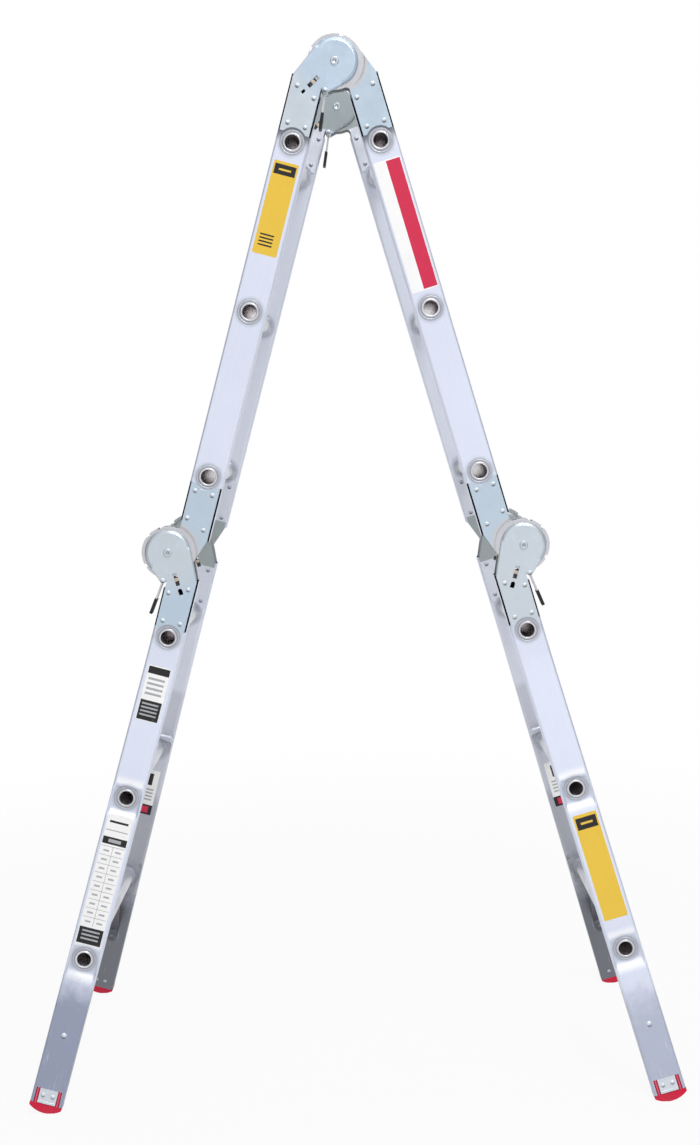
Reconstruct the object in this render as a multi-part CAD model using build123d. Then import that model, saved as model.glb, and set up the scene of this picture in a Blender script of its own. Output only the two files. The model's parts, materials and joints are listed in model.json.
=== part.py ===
# Combination ladder of four folding sections, standing as an A-frame.
# Millimetres and degrees. X runs across the A-frame, Y along the rungs and Z up.
# The origin is on the floor, below the top hinges and midway between the rails.
# Each leg is drawn upright, with its top pivot at the origin, then leaned into place.
import os
from math import acos, atan2, cos, degrees, hypot, radians, sin, sqrt, tan

from build123d import *

# Layout of the ladder
RUNG_PITCH = 280.0
RUNGS_PER_SECTION = 3
LEG_LEAN = 16.0
UPPER_WIDTH = 334.0
FLARE = 6.5
FLARE_DROP = 50.0
FLARE_BEND_RADIUS = 160.0
TOE_LENGTH = 251.0

# Rails: closed box tubes
RAIL_WIDTH = 55.0
RAIL_DEPTH = 25.0
RAIL_WALL = 1.8
RAIL_CORNER = 4.5
DIMPLE_DEPTH = 4.2
DIMPLE_WIDTH = 44.0
DIMPLE_HEIGHT = 41.0
DIMPLE_END_SLOPE = 33.0
DIMPLE_SIDE_SLOPE = 55.0
SLIT_WIDTH = 1.5

# Rungs: round tubes with swaged ends
RUNG_RADIUS = 14.5
RUNG_BORE = 11.8
RUNG_LIP_HEIGHT = 2.0
RUNG_RING_RADIUS = 20.0
RUNG_COLLAR_RADIUS = 19.0
RUNG_COLLAR_LENGTH = 9.0

# Hinges: a pair of cover plates that straddles a pair of notched tongue plates
PIVOT_OFFSET = 34.5
COVER_RADIUS = 38.5
COVER_THICKNESS = 3.0
COVER_RIM = 1.8
TONGUE_RADIUS = 44.0
TONGUE_CORNER = 6.0
TONGUE_THICKNESS = 2.6
JOGGLE_START = 46.0
JOGGLE_LENGTH = 4.5
PLATE_WIDTH = 49.0
PLATE_END = 126.0
PLATE_START = 35.0
COVER_SHOULDER_OUT = 50.0
COVER_SHOULDER_DROP = 15.0
RAIL_END_RADIUS = 60.0
SCALLOP_GAP = 3.0
PIN_RADIUS = 6.0
PIN_HEAD_RADIUS = 7.5
PIN_HEAD_HEIGHT = 2.6
PIN_HEAD_TAPER = 2.0
PIN_HOLLOW_RADIUS = 4.0
PIN_HOLLOW_DEPTH = 1.6
PIN_COLLAR_RADIUS = 10.0

# Locks: a lever draws a bolt out of the notches, and a leaf spring pushes it back in
LOCK_ANGLE = 32.0
LOCK_FOLDS = (0.0, 2 * LEG_LEAN, 103.0, 180.0)
BOLT_WIDTH = 6.0
BOLT_LENGTH = 11.0
BOLT_LIFT = 0.5
BOLT_TRAVEL = 3.0
SLOT_START = 36.0
SLOT_END = 58.0
TOP_ARCH_RADIUS = 2.4
MIDDLE_ARCH_RADIUS = 3.6
ARCH_DISTANCE = 69.0
LEVER_PIVOT_X = 3.0
LEVER_PIVOT_DROP = 47.5
LEVER_HUB_RADIUS = 4.5
LEVER_BOSS_RADIUS = 5.0
LEVER_AXLE_RADIUS = 2.5
LEVER_LENGTH = 60.0
LEVER_WIDTH = 16.0
LEVER_THICKNESS = 2.8
LEVER_SPLAY = 6.7
LEVER_ARM_WIDTH = 9.0
LEVER_ARM_THICKNESS = 3.0
LEVER_ARM_OVERRUN = 3.0
GRIP_LENGTH = 27.0
GRIP_THICKNESS = 5.0
GRIP_WIDTH = 18.0
SPRING_THICKNESS = 0.8
SPRING_WIDTH = 12.0
SPRING_TAB_START = 78.0
SPRING_TAB_END = 106.0
SPRING_TIP = 5.0

# Feet: rounded soles on plugs inside the rails, with a riveted plate in a notch
SOLE_SAG = 14.0
SOLE_EDGE = 4.0
SOLE_FLAT_DEPTH = 0.4
PLUG_HEIGHT = 42.0
FOOT_NOTCH_WIDTH = 44.0
FOOT_NOTCH_HEIGHT = 26.0
FOOT_PLATE_WIDTH = 31.0
FOOT_PLATE_HEIGHT = 25.0
FOOT_PLATE_THICKNESS = 1.5
FOOT_PLATE_LIP = 5.0
FOOT_PLATE_FLARE = 1.2
CHEEK_RIB_WIDTH = 4.2
CHEEK_GROOVE_DEPTH = 1.3

# Knee braces under the lowest rungs
BRACE_DROP = 132.0
BRACE_REACH = 120.0
BRACE_TAB = 26.0
BRACE_WIDTH = 20.0
BRACE_THICKNESS = 3.0
BRACE_END_RADIUS = 9.5

# Clearances
RUNNING_GAP = 0.05
SEAT_GAP = 0.1
PLATE_GAP = 0.3
SLOT_GAP = 0.3
RUNG_GAP = 0.15

# Places worked out from the sizes above
HINGE_TO_RUNG = RUNG_PITCH / 2
SECTION_LENGTH = RUNG_PITCH * RUNGS_PER_SECTION
RAIL_FACE = RAIL_DEPTH / 2
RAIL_Y = UPPER_WIDTH / 2 - RAIL_FACE
MIDDLE_PIVOT = (2 * PIVOT_OFFSET, -SECTION_LENGTH)
UPPER_RUNGS = [-HINGE_TO_RUNG - RUNG_PITCH * k for k in range(RUNGS_PER_SECTION)]
LOWER_RUNGS = [z - SECTION_LENGTH for z in UPPER_RUNGS]
BEND_Z = LOWER_RUNGS[0] - FLARE_DROP
TOE_Z = LOWER_RUNGS[-1] - TOE_LENGTH
FLARED_FACE = RAIL_FACE / cos(radians(FLARE))
TONGUE_FACE = RAIL_FACE - PLATE_GAP
COVER_FACE = RAIL_FACE + COVER_THICKNESS
BOLT_REST = TONGUE_RADIUS + BOLT_LIFT + BOLT_LENGTH / 2
NOTCH_BOTTOM = TONGUE_RADIUS + BOLT_LIFT - BOLT_TRAVEL - SLOT_GAP
SOLE_RISE = SOLE_SAG - SOLE_EDGE
SOLE_RADIUS = ((RAIL_WIDTH / 2) ** 2 + SOLE_RISE**2) / (2 * SOLE_RISE)
SOLE_CENTRE_Z = TOE_Z - SOLE_SAG + SOLE_RADIUS
LEAN = radians(LEG_LEAN)
PIVOT_HEIGHT = SOLE_RADIUS - SOLE_FLAT_DEPTH - PIVOT_OFFSET * sin(LEAN) - SOLE_CENTRE_Z * cos(LEAN)
BEYOND = 4 * RAIL_WIDTH


def flared_y(z):
    """Distance of a lower rail's centre line from the middle of the ladder."""
    return RAIL_Y + max(0.0, BEND_Z - z) * tan(radians(FLARE))


def around_lock(radius, across=0.0):
    """Point at a distance from the pivot along the lock bolt's line, and across it."""
    angle = radians(LOCK_ANGLE)
    return (
        radius * sin(angle) + across * cos(angle),
        -radius * cos(angle) + across * sin(angle),
    )


def slab(outline, near, far):
    """Prism over an outline in X and Z, between two distances in front of the XZ plane."""
    return Pos(0, -near, 0) * extrude(Plane.XZ * outline, far - near)


def strip(points, thickness):
    """Outline of a bent strip of even thickness along a route of points."""
    sides = []
    for i, point in enumerate(points):
        here = Vector(*point)
        before = (here - Vector(*points[i - 1])).normalized() if i else None
        after = (Vector(*points[i + 1]) - here).normalized() if i + 1 < len(points) else None
        along = ((before or after) + (after or before)).normalized()
        mitre = along.dot(before or after)
        across = Vector(-along.Y, along.X) * (thickness / 2 / mitre)
        sides.append((here + across, here - across))
    left = [a for a, b in sides]
    right = [b for a, b in sides]
    return make_face(Polyline(*left, *reversed(right), close=True))


def both_faces(plate):
    """A plate on the front of a rail and its mirror image on the back."""
    return [plate, mirror(plate, Plane.XZ)]


def tangent_point(x, z, radius):
    """Where a line from a point outside a circle at the origin touches it, on the upper side."""
    angle = atan2(z, x) + acos(radius / hypot(x, z))
    return radius * cos(angle), radius * sin(angle)


def hinge_tab(corner, *shoulder):
    """Flat part of a hinge plate on the rail, cut out around the nearest rung."""
    inner = PIVOT_OFFSET - PLATE_WIDTH / 2
    outer = PIVOT_OFFSET + PLATE_WIDTH / 2
    foot = [(inner, -PLATE_END), (outer, -PLATE_END), (outer, -PLATE_START)]
    tab = make_face(Polyline(*foot, *shoulder, (0, 0), corner, close=True))
    return tab - Pos(PIVOT_OFFSET, -HINGE_TO_RUNG) * Circle(RUNG_RING_RADIUS + SCALLOP_GAP)


def arch(radius):
    """Small arched hole beyond the bolt slot."""
    crown = Pos(0, radius / 2) * Circle(radius)
    base = Pos(0, -radius / 2) * Rectangle(2 * radius, 2 * radius)
    return Pos(*around_lock(ARCH_DISTANCE)) * Rot(0, 0, LOCK_ANGLE) * (crown + base)


def hinge_cover(arch_radius):
    """Pair of plates on a back rail, with a rounded disc, a bolt slot and bearings for the lever.

    The one on the outer face also has an arched hole.
    """
    lever_pivot = Pos(LEVER_PIVOT_X, -LEVER_PIVOT_DROP)
    disc = Circle(COVER_RADIUS)
    boss = lever_pivot * Circle(LEVER_BOSS_RADIUS)
    neck = make_hull(disc.edges() + boss.edges())
    corner = (PIVOT_OFFSET - PLATE_WIDTH / 2, -LEVER_PIVOT_DROP)
    shoulder = (COVER_SHOULDER_OUT, -COVER_SHOULDER_DROP)
    tab = hinge_tab(corner, shoulder, tangent_point(*shoulder, COVER_RADIUS))
    outline = neck + tab
    slot = Rectangle(BOLT_WIDTH + 2 * SLOT_GAP, SLOT_END - SLOT_START)
    slot = Pos(*around_lock((SLOT_START + SLOT_END) / 2)) * Rot(0, 0, LOCK_ANGLE) * slot
    axle_hole = lever_pivot * Circle(LEVER_AXLE_RADIUS + SEAT_GAP)
    holes = Circle(PIN_RADIUS + SEAT_GAP) + slot + axle_hole
    plate = slab(outline, RAIL_FACE, COVER_FACE)
    rim = [e for e in plate.edges().filter_by(GeomType.CIRCLE) if abs(e.radius - COVER_RADIUS) < 0.01]
    outer_rim = [e for e in rim if e.center().Y < -RAIL_FACE - COVER_THICKNESS / 2]
    plate = chamfer(outer_rim, COVER_RIM)
    plate -= slab(holes, 0, COVER_FACE)
    return [plate, mirror(plate - slab(arch(arch_radius), 0, COVER_FACE), Plane.XZ)]


def hinge_tongue():
    """Inner pair of plates: a notched disc, joggled out to the faces of its rail."""
    outer = PIVOT_OFFSET + PLATE_WIDTH / 2
    inner = PIVOT_OFFSET - PLATE_WIDTH / 2
    tab = hinge_tab((inner, 0), tangent_point(outer, -PLATE_START, TONGUE_RADIUS))
    outline = Circle(TONGUE_RADIUS) + tab
    meeting = (inner, -sqrt(TONGUE_RADIUS**2 - inner**2))
    outline = fillet(outline.vertices().sort_by_distance(meeting)[0], TONGUE_CORNER)
    outline -= Circle(PIN_RADIUS + RUNNING_GAP)
    notch_depth = TONGUE_RADIUS - NOTCH_BOTTOM
    for fold in LOCK_FOLDS:
        notch = Pos(0, -NOTCH_BOTTOM - notch_depth) * Rectangle(BOLT_WIDTH + 2 * SLOT_GAP, 2 * notch_depth)
        outline -= Rot(0, 0, -LOCK_ANGLE - fold) * notch
    rise = RAIL_FACE - TONGUE_FACE + TONGUE_THICKNESS
    profile = [
        (0, -TONGUE_FACE),
        (JOGGLE_START, -TONGUE_FACE),
        (JOGGLE_START + JOGGLE_LENGTH, -TONGUE_FACE - rise),
        (BEYOND, -TONGUE_FACE - rise),
        (BEYOND, -TONGUE_FACE - rise + TONGUE_THICKNESS),
        (JOGGLE_START + JOGGLE_LENGTH, -TONGUE_FACE - rise + TONGUE_THICKNESS),
        (JOGGLE_START, -TONGUE_FACE + TONGUE_THICKNESS),
        (0, -TONGUE_FACE + TONGUE_THICKNESS),
    ]
    layers = revolve(make_face(Polyline(*profile, close=True)), Axis.Y)
    return both_faces(slab(outline, 0, 2 * COVER_FACE) & layers)


def pivot_pin():
    """Riveted pin with hollow heads, and a collar that keeps the two tongue discs apart."""
    collar = TONGUE_FACE - TONGUE_THICKNESS - PLATE_GAP
    head = COVER_FACE + PIN_HEAD_HEIGHT
    half = [
        (PIN_COLLAR_RADIUS, collar),
        (PIN_RADIUS, collar),
        (PIN_RADIUS, COVER_FACE),
        (PIN_HEAD_RADIUS, COVER_FACE),
        (PIN_HEAD_RADIUS - PIN_HEAD_TAPER, head),
        (PIN_HOLLOW_RADIUS, head),
        (0, head - PIN_HOLLOW_DEPTH),
    ]
    other = [(r, -y) for r, y in reversed(half)]
    return revolve(make_face(Polyline(*half, *other, close=True)), Axis.Y)


def lever_arm_angle():
    """Direction from the lever's pivot to the bolt, above the horizontal."""
    bolt_x, bolt_z = around_lock(BOLT_REST)
    return atan2(bolt_z + LEVER_PIVOT_DROP, bolt_x - LEVER_PIVOT_X)


def lock_bolt():
    """Flat bar across both discs, with a window for the end of the lever."""
    slant = radians(LOCK_ANGLE) - lever_arm_angle()
    window = LEVER_ARM_THICKNESS / cos(slant) + BOLT_WIDTH * tan(slant) + 2 * SLOT_GAP
    bar = Box(BOLT_WIDTH, 2 * COVER_FACE - 2 * PLATE_GAP, BOLT_LENGTH)
    bar -= Box(2 * BOLT_WIDTH, LEVER_ARM_WIDTH + 2 * SLOT_GAP, window)
    return Rot(0, -LOCK_ANGLE, 0) * Pos(0, 0, -BOLT_REST) * bar


def lever_pivot_place():
    """Lever's frame: its pivot at the origin and its strip running down."""
    return Pos(LEVER_PIVOT_X, 0, -LEVER_PIVOT_DROP) * Rot(0, LEVER_SPLAY, 0)


def release_lever():
    """Bent lever: a strip for the fingers, a hub with axle ends and an arm into the bolt."""
    bolt_x, bolt_z = around_lock(BOLT_REST)
    reach = hypot(bolt_x - LEVER_PIVOT_X, bolt_z + LEVER_PIVOT_DROP) + LEVER_ARM_OVERRUN
    finger = Pos(0, 0, -LEVER_LENGTH / 2) * Box(LEVER_THICKNESS, LEVER_WIDTH, LEVER_LENGTH)
    arm = Pos(reach / 2, 0, 0) * Box(reach, LEVER_ARM_WIDTH, LEVER_ARM_THICKNESS)
    arm = Rot(0, -degrees(lever_arm_angle()), 0) * arm
    hub_half = TONGUE_FACE - TONGUE_THICKNESS - PLATE_GAP
    hub = Rot(90, 0, 0) * Cylinder(LEVER_HUB_RADIUS, 2 * hub_half)
    axle = Rot(90, 0, 0) * Cylinder(LEVER_AXLE_RADIUS, 2 * COVER_FACE)
    turned = Pos(LEVER_PIVOT_X, 0, -LEVER_PIVOT_DROP) * (arm + hub + axle)
    return turned + lever_pivot_place() * finger


def lever_grip():
    """Plastic sleeve on the end of the lever's strip."""
    pocket = Box(LEVER_THICKNESS + 2 * SEAT_GAP, LEVER_WIDTH + 2 * SEAT_GAP, LEVER_LENGTH)
    sleeve = Box(GRIP_THICKNESS, GRIP_WIDTH, GRIP_LENGTH)
    sleeve = fillet(sleeve.edges().filter_by(Axis.Z), GRIP_THICKNESS / 3)
    end = -LEVER_LENGTH - (GRIP_THICKNESS - LEVER_THICKNESS) / 2
    sleeve = Pos(0, 0, end + GRIP_LENGTH / 2) * sleeve
    return lever_pivot_place() * (sleeve - Pos(0, 0, -LEVER_LENGTH / 2 - SEAT_GAP) * pocket)


def lock_spring():
    """Leaf spring: a tab on the rail's inner wall and a tongue that presses on the bolt."""
    wall = PIVOT_OFFSET - RAIL_WIDTH / 2 + RAIL_WALL + SEAT_GAP + SPRING_THICKNESS / 2
    press = BOLT_REST + BOLT_LENGTH / 2 + PLATE_GAP + SPRING_THICKNESS / 2
    route = [
        (wall, -SPRING_TAB_END),
        (wall, -SPRING_TAB_START),
        around_lock(press, -SPRING_TIP),
        around_lock(press, SPRING_TIP),
    ]
    leaf = strip(route, SPRING_THICKNESS)
    return slab(leaf, -SPRING_WIDTH / 2, SPRING_WIDTH / 2)


def rail_section(shrink, corner):
    """Cross-section of a rail, or of the space inside it."""
    width = RAIL_WIDTH - 2 * shrink
    depth = RAIL_DEPTH - 2 * shrink
    return RectangleRounded(width, depth, corner) if corner else Rectangle(width, depth)


def hinge_end(pivot_x, pivot_z, arch_radius=None):
    """Cuts for the end of a back rail at a hinge: room for the disc, and openings in the outer wall.

    These are slits beside the plate, and an arched hole in an upper end.
    """
    flip = 1 if arch_radius else -1
    side = 1 if pivot_x < PIVOT_OFFSET else -1
    cut = Pos(pivot_x, 0, pivot_z) * Rot(90, 0, 0) * Cylinder(RAIL_END_RADIUS, 2 * UPPER_WIDTH)
    slit_length = PLATE_END - PLATE_START
    slit_z = pivot_z - flip * (PLATE_START + slit_length / 2)
    for edge in (-1, 1):
        x = pivot_x + side * PIVOT_OFFSET + edge * (PLATE_WIDTH + SLIT_WIDTH) / 2
        cut += Pos(x, RAIL_FACE, slit_z) * Box(SLIT_WIDTH, 2 * RAIL_FACE, slit_length - 2 * SLIT_WIDTH)
    if arch_radius:
        hole = slab(arch(arch_radius), -2 * RAIL_FACE, 0)
        cut += Pos(pivot_x, 0, pivot_z) * (hole if side > 0 else mirror(hole, Plane.YZ))
    return cut


def rung_holes(heights):
    """Clearance holes for the rungs, right through both rails."""
    hole = Rot(90, 0, 0) * Cylinder(RUNG_RADIUS + RUNG_GAP, 4 * UPPER_WIDTH)
    return [Pos(PIVOT_OFFSET, 0, z) * hole for z in heights]


def upper_rail():
    """Straight back rail between the top hinge and a middle hinge, moved to the middle of the ladder."""
    top = -PLATE_START
    bottom = -SECTION_LENGTH + PLATE_START
    tube = rail_section(0, RAIL_CORNER) - rail_section(RAIL_WALL, 0)
    rail = Pos(PIVOT_OFFSET, 0, bottom) * extrude(tube, top - bottom)
    rail -= hinge_end(0, 0, TOP_ARCH_RADIUS)
    rail -= hinge_end(*MIDDLE_PIVOT)
    for hole in rung_holes(UPPER_RUNGS):
        rail -= hole
    return rail


def dimple(z, outward, wall):
    """Pressed seat for a rung, square to the rung, in one face of a flared back rail."""
    floor = flared_y(z) + outward * (FLARED_FACE - DIMPLE_DEPTH - wall)
    seat = Plane((PIVOT_OFFSET, floor, z), x_dir=(1, 0, 0), z_dir=(0, outward, 0))
    ends = Rot(0, 0, 90) * wedge(DIMPLE_HEIGHT, DIMPLE_END_SLOPE, wall)
    sides = wedge(DIMPLE_WIDTH, DIMPLE_SIDE_SLOPE, wall)
    return seat * (sides & ends)


def wedge(flat, slope, wall):
    """Long block whose flat underside widens upwards with sloping sides."""
    half = flat / 2 + wall * tan(radians(slope) / 2)
    run = RAIL_DEPTH / tan(radians(slope))
    profile = [(-half, 0), (half, 0), (half + run, RAIL_DEPTH), (-half - run, RAIL_DEPTH)]
    return extrude(Plane.XZ * make_face(Polyline(*profile, close=True)), RAIL_WIDTH * 2, both=True)


def flared_bar(shrink, corner):
    """Bar along a lower back rail: straight beside the hinge, then bent outwards."""
    start = (PIVOT_OFFSET, RAIL_Y, -SECTION_LENGTH - PLATE_START)
    bend = (PIVOT_OFFSET, RAIL_Y, BEND_Z)
    toe = (PIVOT_OFFSET, flared_y(TOE_Z), TOE_Z)
    path = FilletPolyline(start, bend, toe, radius=FLARE_BEND_RADIUS)
    section = Plane(start, x_dir=(1, 0, 0), z_dir=(0, 0, -1)) * rail_section(shrink, corner)
    return sweep(section, path=path)


def toe_plane():
    """Plane of the cut end of a lower back rail, facing up along the rail."""
    along = (0, -sin(radians(FLARE)), cos(radians(FLARE)))
    return Plane((PIVOT_OFFSET, flared_y(TOE_Z), TOE_Z), x_dir=(1, 0, 0), z_dir=along)


def foot_notch():
    """Room for the foot's plate, in the outer wall at the end of a lower back rail."""
    notch = Box(FOOT_NOTCH_WIDTH, RAIL_WALL, 2 * FOOT_NOTCH_HEIGHT)
    return toe_plane() * Pos(0, RAIL_FACE - RAIL_WALL / 2, 0) * notch


def lower_rail():
    """Flared rail of a lower section, with pressed seats for its two lower rungs."""
    shell = flared_bar(0, RAIL_CORNER)
    space = flared_bar(RAIL_WALL, 0)
    for z in LOWER_RUNGS[1:]:
        for outward in (-1, 1):
            shell -= dimple(z, outward, 0)
            space -= dimple(z, outward, RAIL_WALL)
    rail = shell - space - foot_notch()
    rail -= Pos(0, RAIL_Y, 0) * hinge_end(*MIDDLE_PIVOT, MIDDLE_ARCH_RADIUS)
    for hole in rung_holes(LOWER_RUNGS):
        rail -= hole
    return rail


def rung(z, outer_seat, inner_seat):
    """Round tube with a swaged ring outside each rail and a tapered collar inside it."""
    collar_end = inner_seat - RUNG_COLLAR_LENGTH
    half = [
        (RUNG_RADIUS, collar_end),
        (RUNG_COLLAR_RADIUS, inner_seat),
        (RUNG_RADIUS, inner_seat),
        (RUNG_RADIUS, outer_seat),
        (RUNG_RING_RADIUS, outer_seat),
        (RUNG_RADIUS, outer_seat + RUNG_LIP_HEIGHT),
        (RUNG_BORE, outer_seat + RUNG_LIP_HEIGHT),
    ]
    other = [(r, -y) for r, y in reversed(half)]
    tube = revolve(make_face(Polyline(*half, *other, close=True)), Axis.Y)
    return Pos(PIVOT_OFFSET, 0, z) * tube


def upper_rungs():
    """The three rungs of an upper section."""
    return [rung(z, RAIL_Y + RAIL_FACE, RAIL_Y - RAIL_FACE) for z in UPPER_RUNGS]


def lower_rungs():
    """The three rungs of a lower section, each longer than the one above."""
    rungs = [rung(LOWER_RUNGS[0], RAIL_Y + RAIL_FACE, RAIL_Y - RAIL_FACE)]
    seat = FLARED_FACE - DIMPLE_DEPTH
    for z in LOWER_RUNGS[1:]:
        rungs.append(rung(z, flared_y(z) + seat, flared_y(z) - seat))
    return rungs


def floor_side():
    """Everything below the floor, in the frame of the upright leg."""
    slope = Rot(0, LEG_LEAN, 0) * Pos(0, 0, -PIVOT_HEIGHT - BEYOND / 2)
    return slope * Box(8 * SECTION_LENGTH, 8 * SECTION_LENGTH, BEYOND)


def foot():
    """Back foot: a plug inside the rail, a rib each side of its plate and a sole rounded to roll."""
    plug_width = RAIL_WIDTH - 2 * RAIL_WALL - 2 * SEAT_GAP
    plug_depth = RAIL_DEPTH - 2 * RAIL_WALL - 2 * SEAT_GAP
    plug = Pos(0, 0, PLUG_HEIGHT / 2) * Box(plug_width, plug_depth, PLUG_HEIGHT)
    cheek_depth = RAIL_WALL + SEAT_GAP
    pad_width = FOOT_NOTCH_WIDTH - 2 * SEAT_GAP
    pad_height = FOOT_NOTCH_HEIGHT - SEAT_GAP
    plate_room = FOOT_PLATE_WIDTH + 2 * SEAT_GAP
    on_plug = Pos(0, plug_depth / 2, pad_height / 2)
    cheeks = on_plug * Box(pad_width, 2 * (cheek_depth - CHEEK_GROOVE_DEPTH), pad_height)
    for side in (-1, 1):
        rib_x = side * (pad_width + plate_room) / 4
        cheeks += Pos(rib_x, 0, 0) * on_plug * Box(CHEEK_RIB_WIDTH, 2 * cheek_depth, pad_height)
    room = Box(plate_room, cheek_depth, 2 * (FOOT_PLATE_HEIGHT + SEAT_GAP))
    cheeks -= Pos(0, (plug_depth + cheek_depth) / 2, pad_height) * room
    circle = Pos(PIVOT_OFFSET, SOLE_CENTRE_Z) * Circle(SOLE_RADIUS)
    trim = Pos(PIVOT_OFFSET, TOE_Z) * Rectangle(RAIL_WIDTH, 2 * SOLE_SAG)
    middle = flared_y(TOE_Z)
    sole = slab(circle & trim, -middle - RAIL_FACE, -middle + RAIL_FACE)
    above = toe_plane() * Pos(0, 0, BEYOND / 2) * Box(BEYOND, BEYOND, BEYOND)
    return (sole - above - floor_side()) + toe_plane() * (plug + cheeks)


def foot_plate():
    """Steel plate over the back foot's plug, between its cheeks, with its lower edge bent out."""
    y = RAIL_FACE - RAIL_WALL - SEAT_GAP + FOOT_PLATE_THICKNESS / 2
    top = FOOT_NOTCH_HEIGHT - SEAT_GAP
    bottom = top - FOOT_PLATE_HEIGHT
    route = [
        (y, top),
        (y, bottom + FOOT_PLATE_LIP),
        (y + FOOT_PLATE_FLARE, bottom + FOOT_PLATE_LIP - FOOT_PLATE_THICKNESS),
        (y + FOOT_PLATE_FLARE, bottom),
    ]
    bent = Plane.YZ * strip(route, FOOT_PLATE_THICKNESS)
    return toe_plane() * Pos(-FOOT_PLATE_WIDTH / 2, 0, 0) * extrude(bent, FOOT_PLATE_WIDTH)


def knee_brace():
    """Bent strip from under the lowest rung to the inner face of the back rail."""
    z = LOWER_RUNGS[-1]
    slope = tan(radians(FLARE))
    half = BRACE_THICKNESS / 2
    face_y = flared_y(z) - FLARED_FACE - half / cos(radians(FLARE))
    under = z - RUNG_RADIUS - SEAT_GAP - half
    rail_low = BRACE_DROP + BRACE_TAB / 2
    rail_high = BRACE_DROP - BRACE_TAB / 2
    route = [
        (face_y + slope * rail_low, z - rail_low),
        (face_y + slope * rail_high, z - rail_high),
        (face_y - BRACE_REACH + BRACE_TAB / 2, under),
        (face_y - BRACE_REACH - BRACE_TAB / 2, under),
    ]
    bent = Plane.YZ * strip(route, BRACE_THICKNESS)
    brace = Pos(PIVOT_OFFSET - BRACE_WIDTH / 2, 0, 0) * extrude(bent, BRACE_WIDTH)
    corners = [edge for edge in brace.edges() if abs(edge.length - BRACE_THICKNESS) < 0.01]
    return fillet(corners, BRACE_END_RADIUS)


def on_leg(shapes, leg):
    """Lean upright shapes into the A-frame, mirrored across it for the left leg."""
    placed = [Pos(0, 0, PIVOT_HEIGHT) * Rot(0, -LEG_LEAN, 0) * shape for shape in shapes]
    return [mirror(shape, Plane.YZ) for shape in placed] if leg == "left" else placed


def across(shapes, side):
    """Move shapes from the middle of the ladder to the front or the back rail."""
    offset = -RAIL_Y if side == "front" else RAIL_Y
    return [Pos(0, offset, 0) * shape for shape in shapes]


def facing(shapes, side):
    """Shapes made for the back rail, mirrored for the front one."""
    return [mirror(shape, Plane.XZ) for shape in shapes] if side == "front" else list(shapes)


def below_middle(shapes):
    """Move hinge pieces from the top pivot to the lower half of a middle hinge."""
    return [Pos(MIDDLE_PIVOT[0], 0, MIDDLE_PIVOT[1]) * mirror(shape, Plane.YZ) for shape in shapes]


def above_middle(shapes):
    """Move hinge pieces from the top pivot to the upper half of a middle hinge."""
    return [Pos(MIDDLE_PIVOT[0], 0, MIDDLE_PIVOT[1]) * Rot(0, 180, 0) * shape for shape in shapes]


def save(node, shapes):
    """Write one node, as a single solid or as a group of separate solids."""
    solids = [solid for shape in shapes for solid in shape.solids()]
    export_step(solids[0] if len(solids) == 1 else Compound(children=solids), f"parts/{node}.step")


def save_sections():
    """Rails, rungs, feet, foot plates and braces of the four sections."""
    straight = upper_rail()
    flared = lower_rail()
    back_foot = foot()
    back_plate = foot_plate()
    back_brace = knee_brace()
    for leg in ("left", "right"):
        save(f"{leg}_upper_rungs", on_leg(upper_rungs(), leg))
        save(f"{leg}_lower_rungs", on_leg(lower_rungs(), leg))
        plates = []
        braces = []
        for side in ("front", "back"):
            save(f"{leg}_upper_{side}_rail", on_leg(across(facing([straight], side), side), leg))
            save(f"{leg}_lower_{side}_rail", on_leg(facing([flared], side), leg))
            save(f"{leg}_{side}_foot", on_leg(facing([back_foot], side), leg))
            plates += on_leg(facing([back_plate], side), leg)
            braces += on_leg(facing([back_brace], side), leg)
        save(f"{leg}_foot_plates", plates)
        save(f"{leg}_knee_braces", braces)


def save_hinges():
    """Plates, pins and locks of the top hinges and of the two middle ones."""
    top_covers = hinge_cover(TOP_ARCH_RADIUS)
    middle_covers = hinge_cover(MIDDLE_ARCH_RADIUS)
    tongues = hinge_tongue()
    locks = {
        "lock_bolt": [lock_bolt()],
        "release_lever": [release_lever()],
        "lever_grip": [lever_grip()],
    }
    pin = pivot_pin()
    spring = lock_spring()
    hinges = {
        "top": ("left", list, "right", list),
        "left": ("left", below_middle, "left", above_middle),
        "right": ("right", below_middle, "right", above_middle),
    }
    for hinge, (cover_leg, cover_place, tongue_leg, tongue_place) in hinges.items():
        pins = []
        springs = []
        covers = top_covers if hinge == "top" else middle_covers
        for side in ("front", "back"):
            turned = cover_place(facing(covers, side))
            save(f"{hinge}_{side}_hinge_cover", on_leg(across(turned, side), cover_leg))
            save(f"{hinge}_{side}_hinge_tongue", on_leg(across(tongue_place(tongues), side), tongue_leg))
            for name, piece in locks.items():
                save(f"{hinge}_{side}_{name}", on_leg(across(cover_place(piece), side), cover_leg))
            pins += on_leg(across(cover_place([pin]), side), cover_leg)
            springs += on_leg(across(cover_place([spring]), side), cover_leg)
        save(f"{hinge}_hinge_pins", pins)
        save(f"{hinge}_lock_springs", springs)


os.makedirs("parts", exist_ok=True)
save_sections()
save_hinges()
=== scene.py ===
"""Looks of a combination ladder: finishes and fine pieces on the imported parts, and a studio stage."""
import json
from math import cos, hypot, pi, radians, sin, tan

import bmesh
import bpy
from bpy.props import FloatProperty, FloatVectorProperty, PointerProperty
from mathutils import Matrix, Vector

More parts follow.
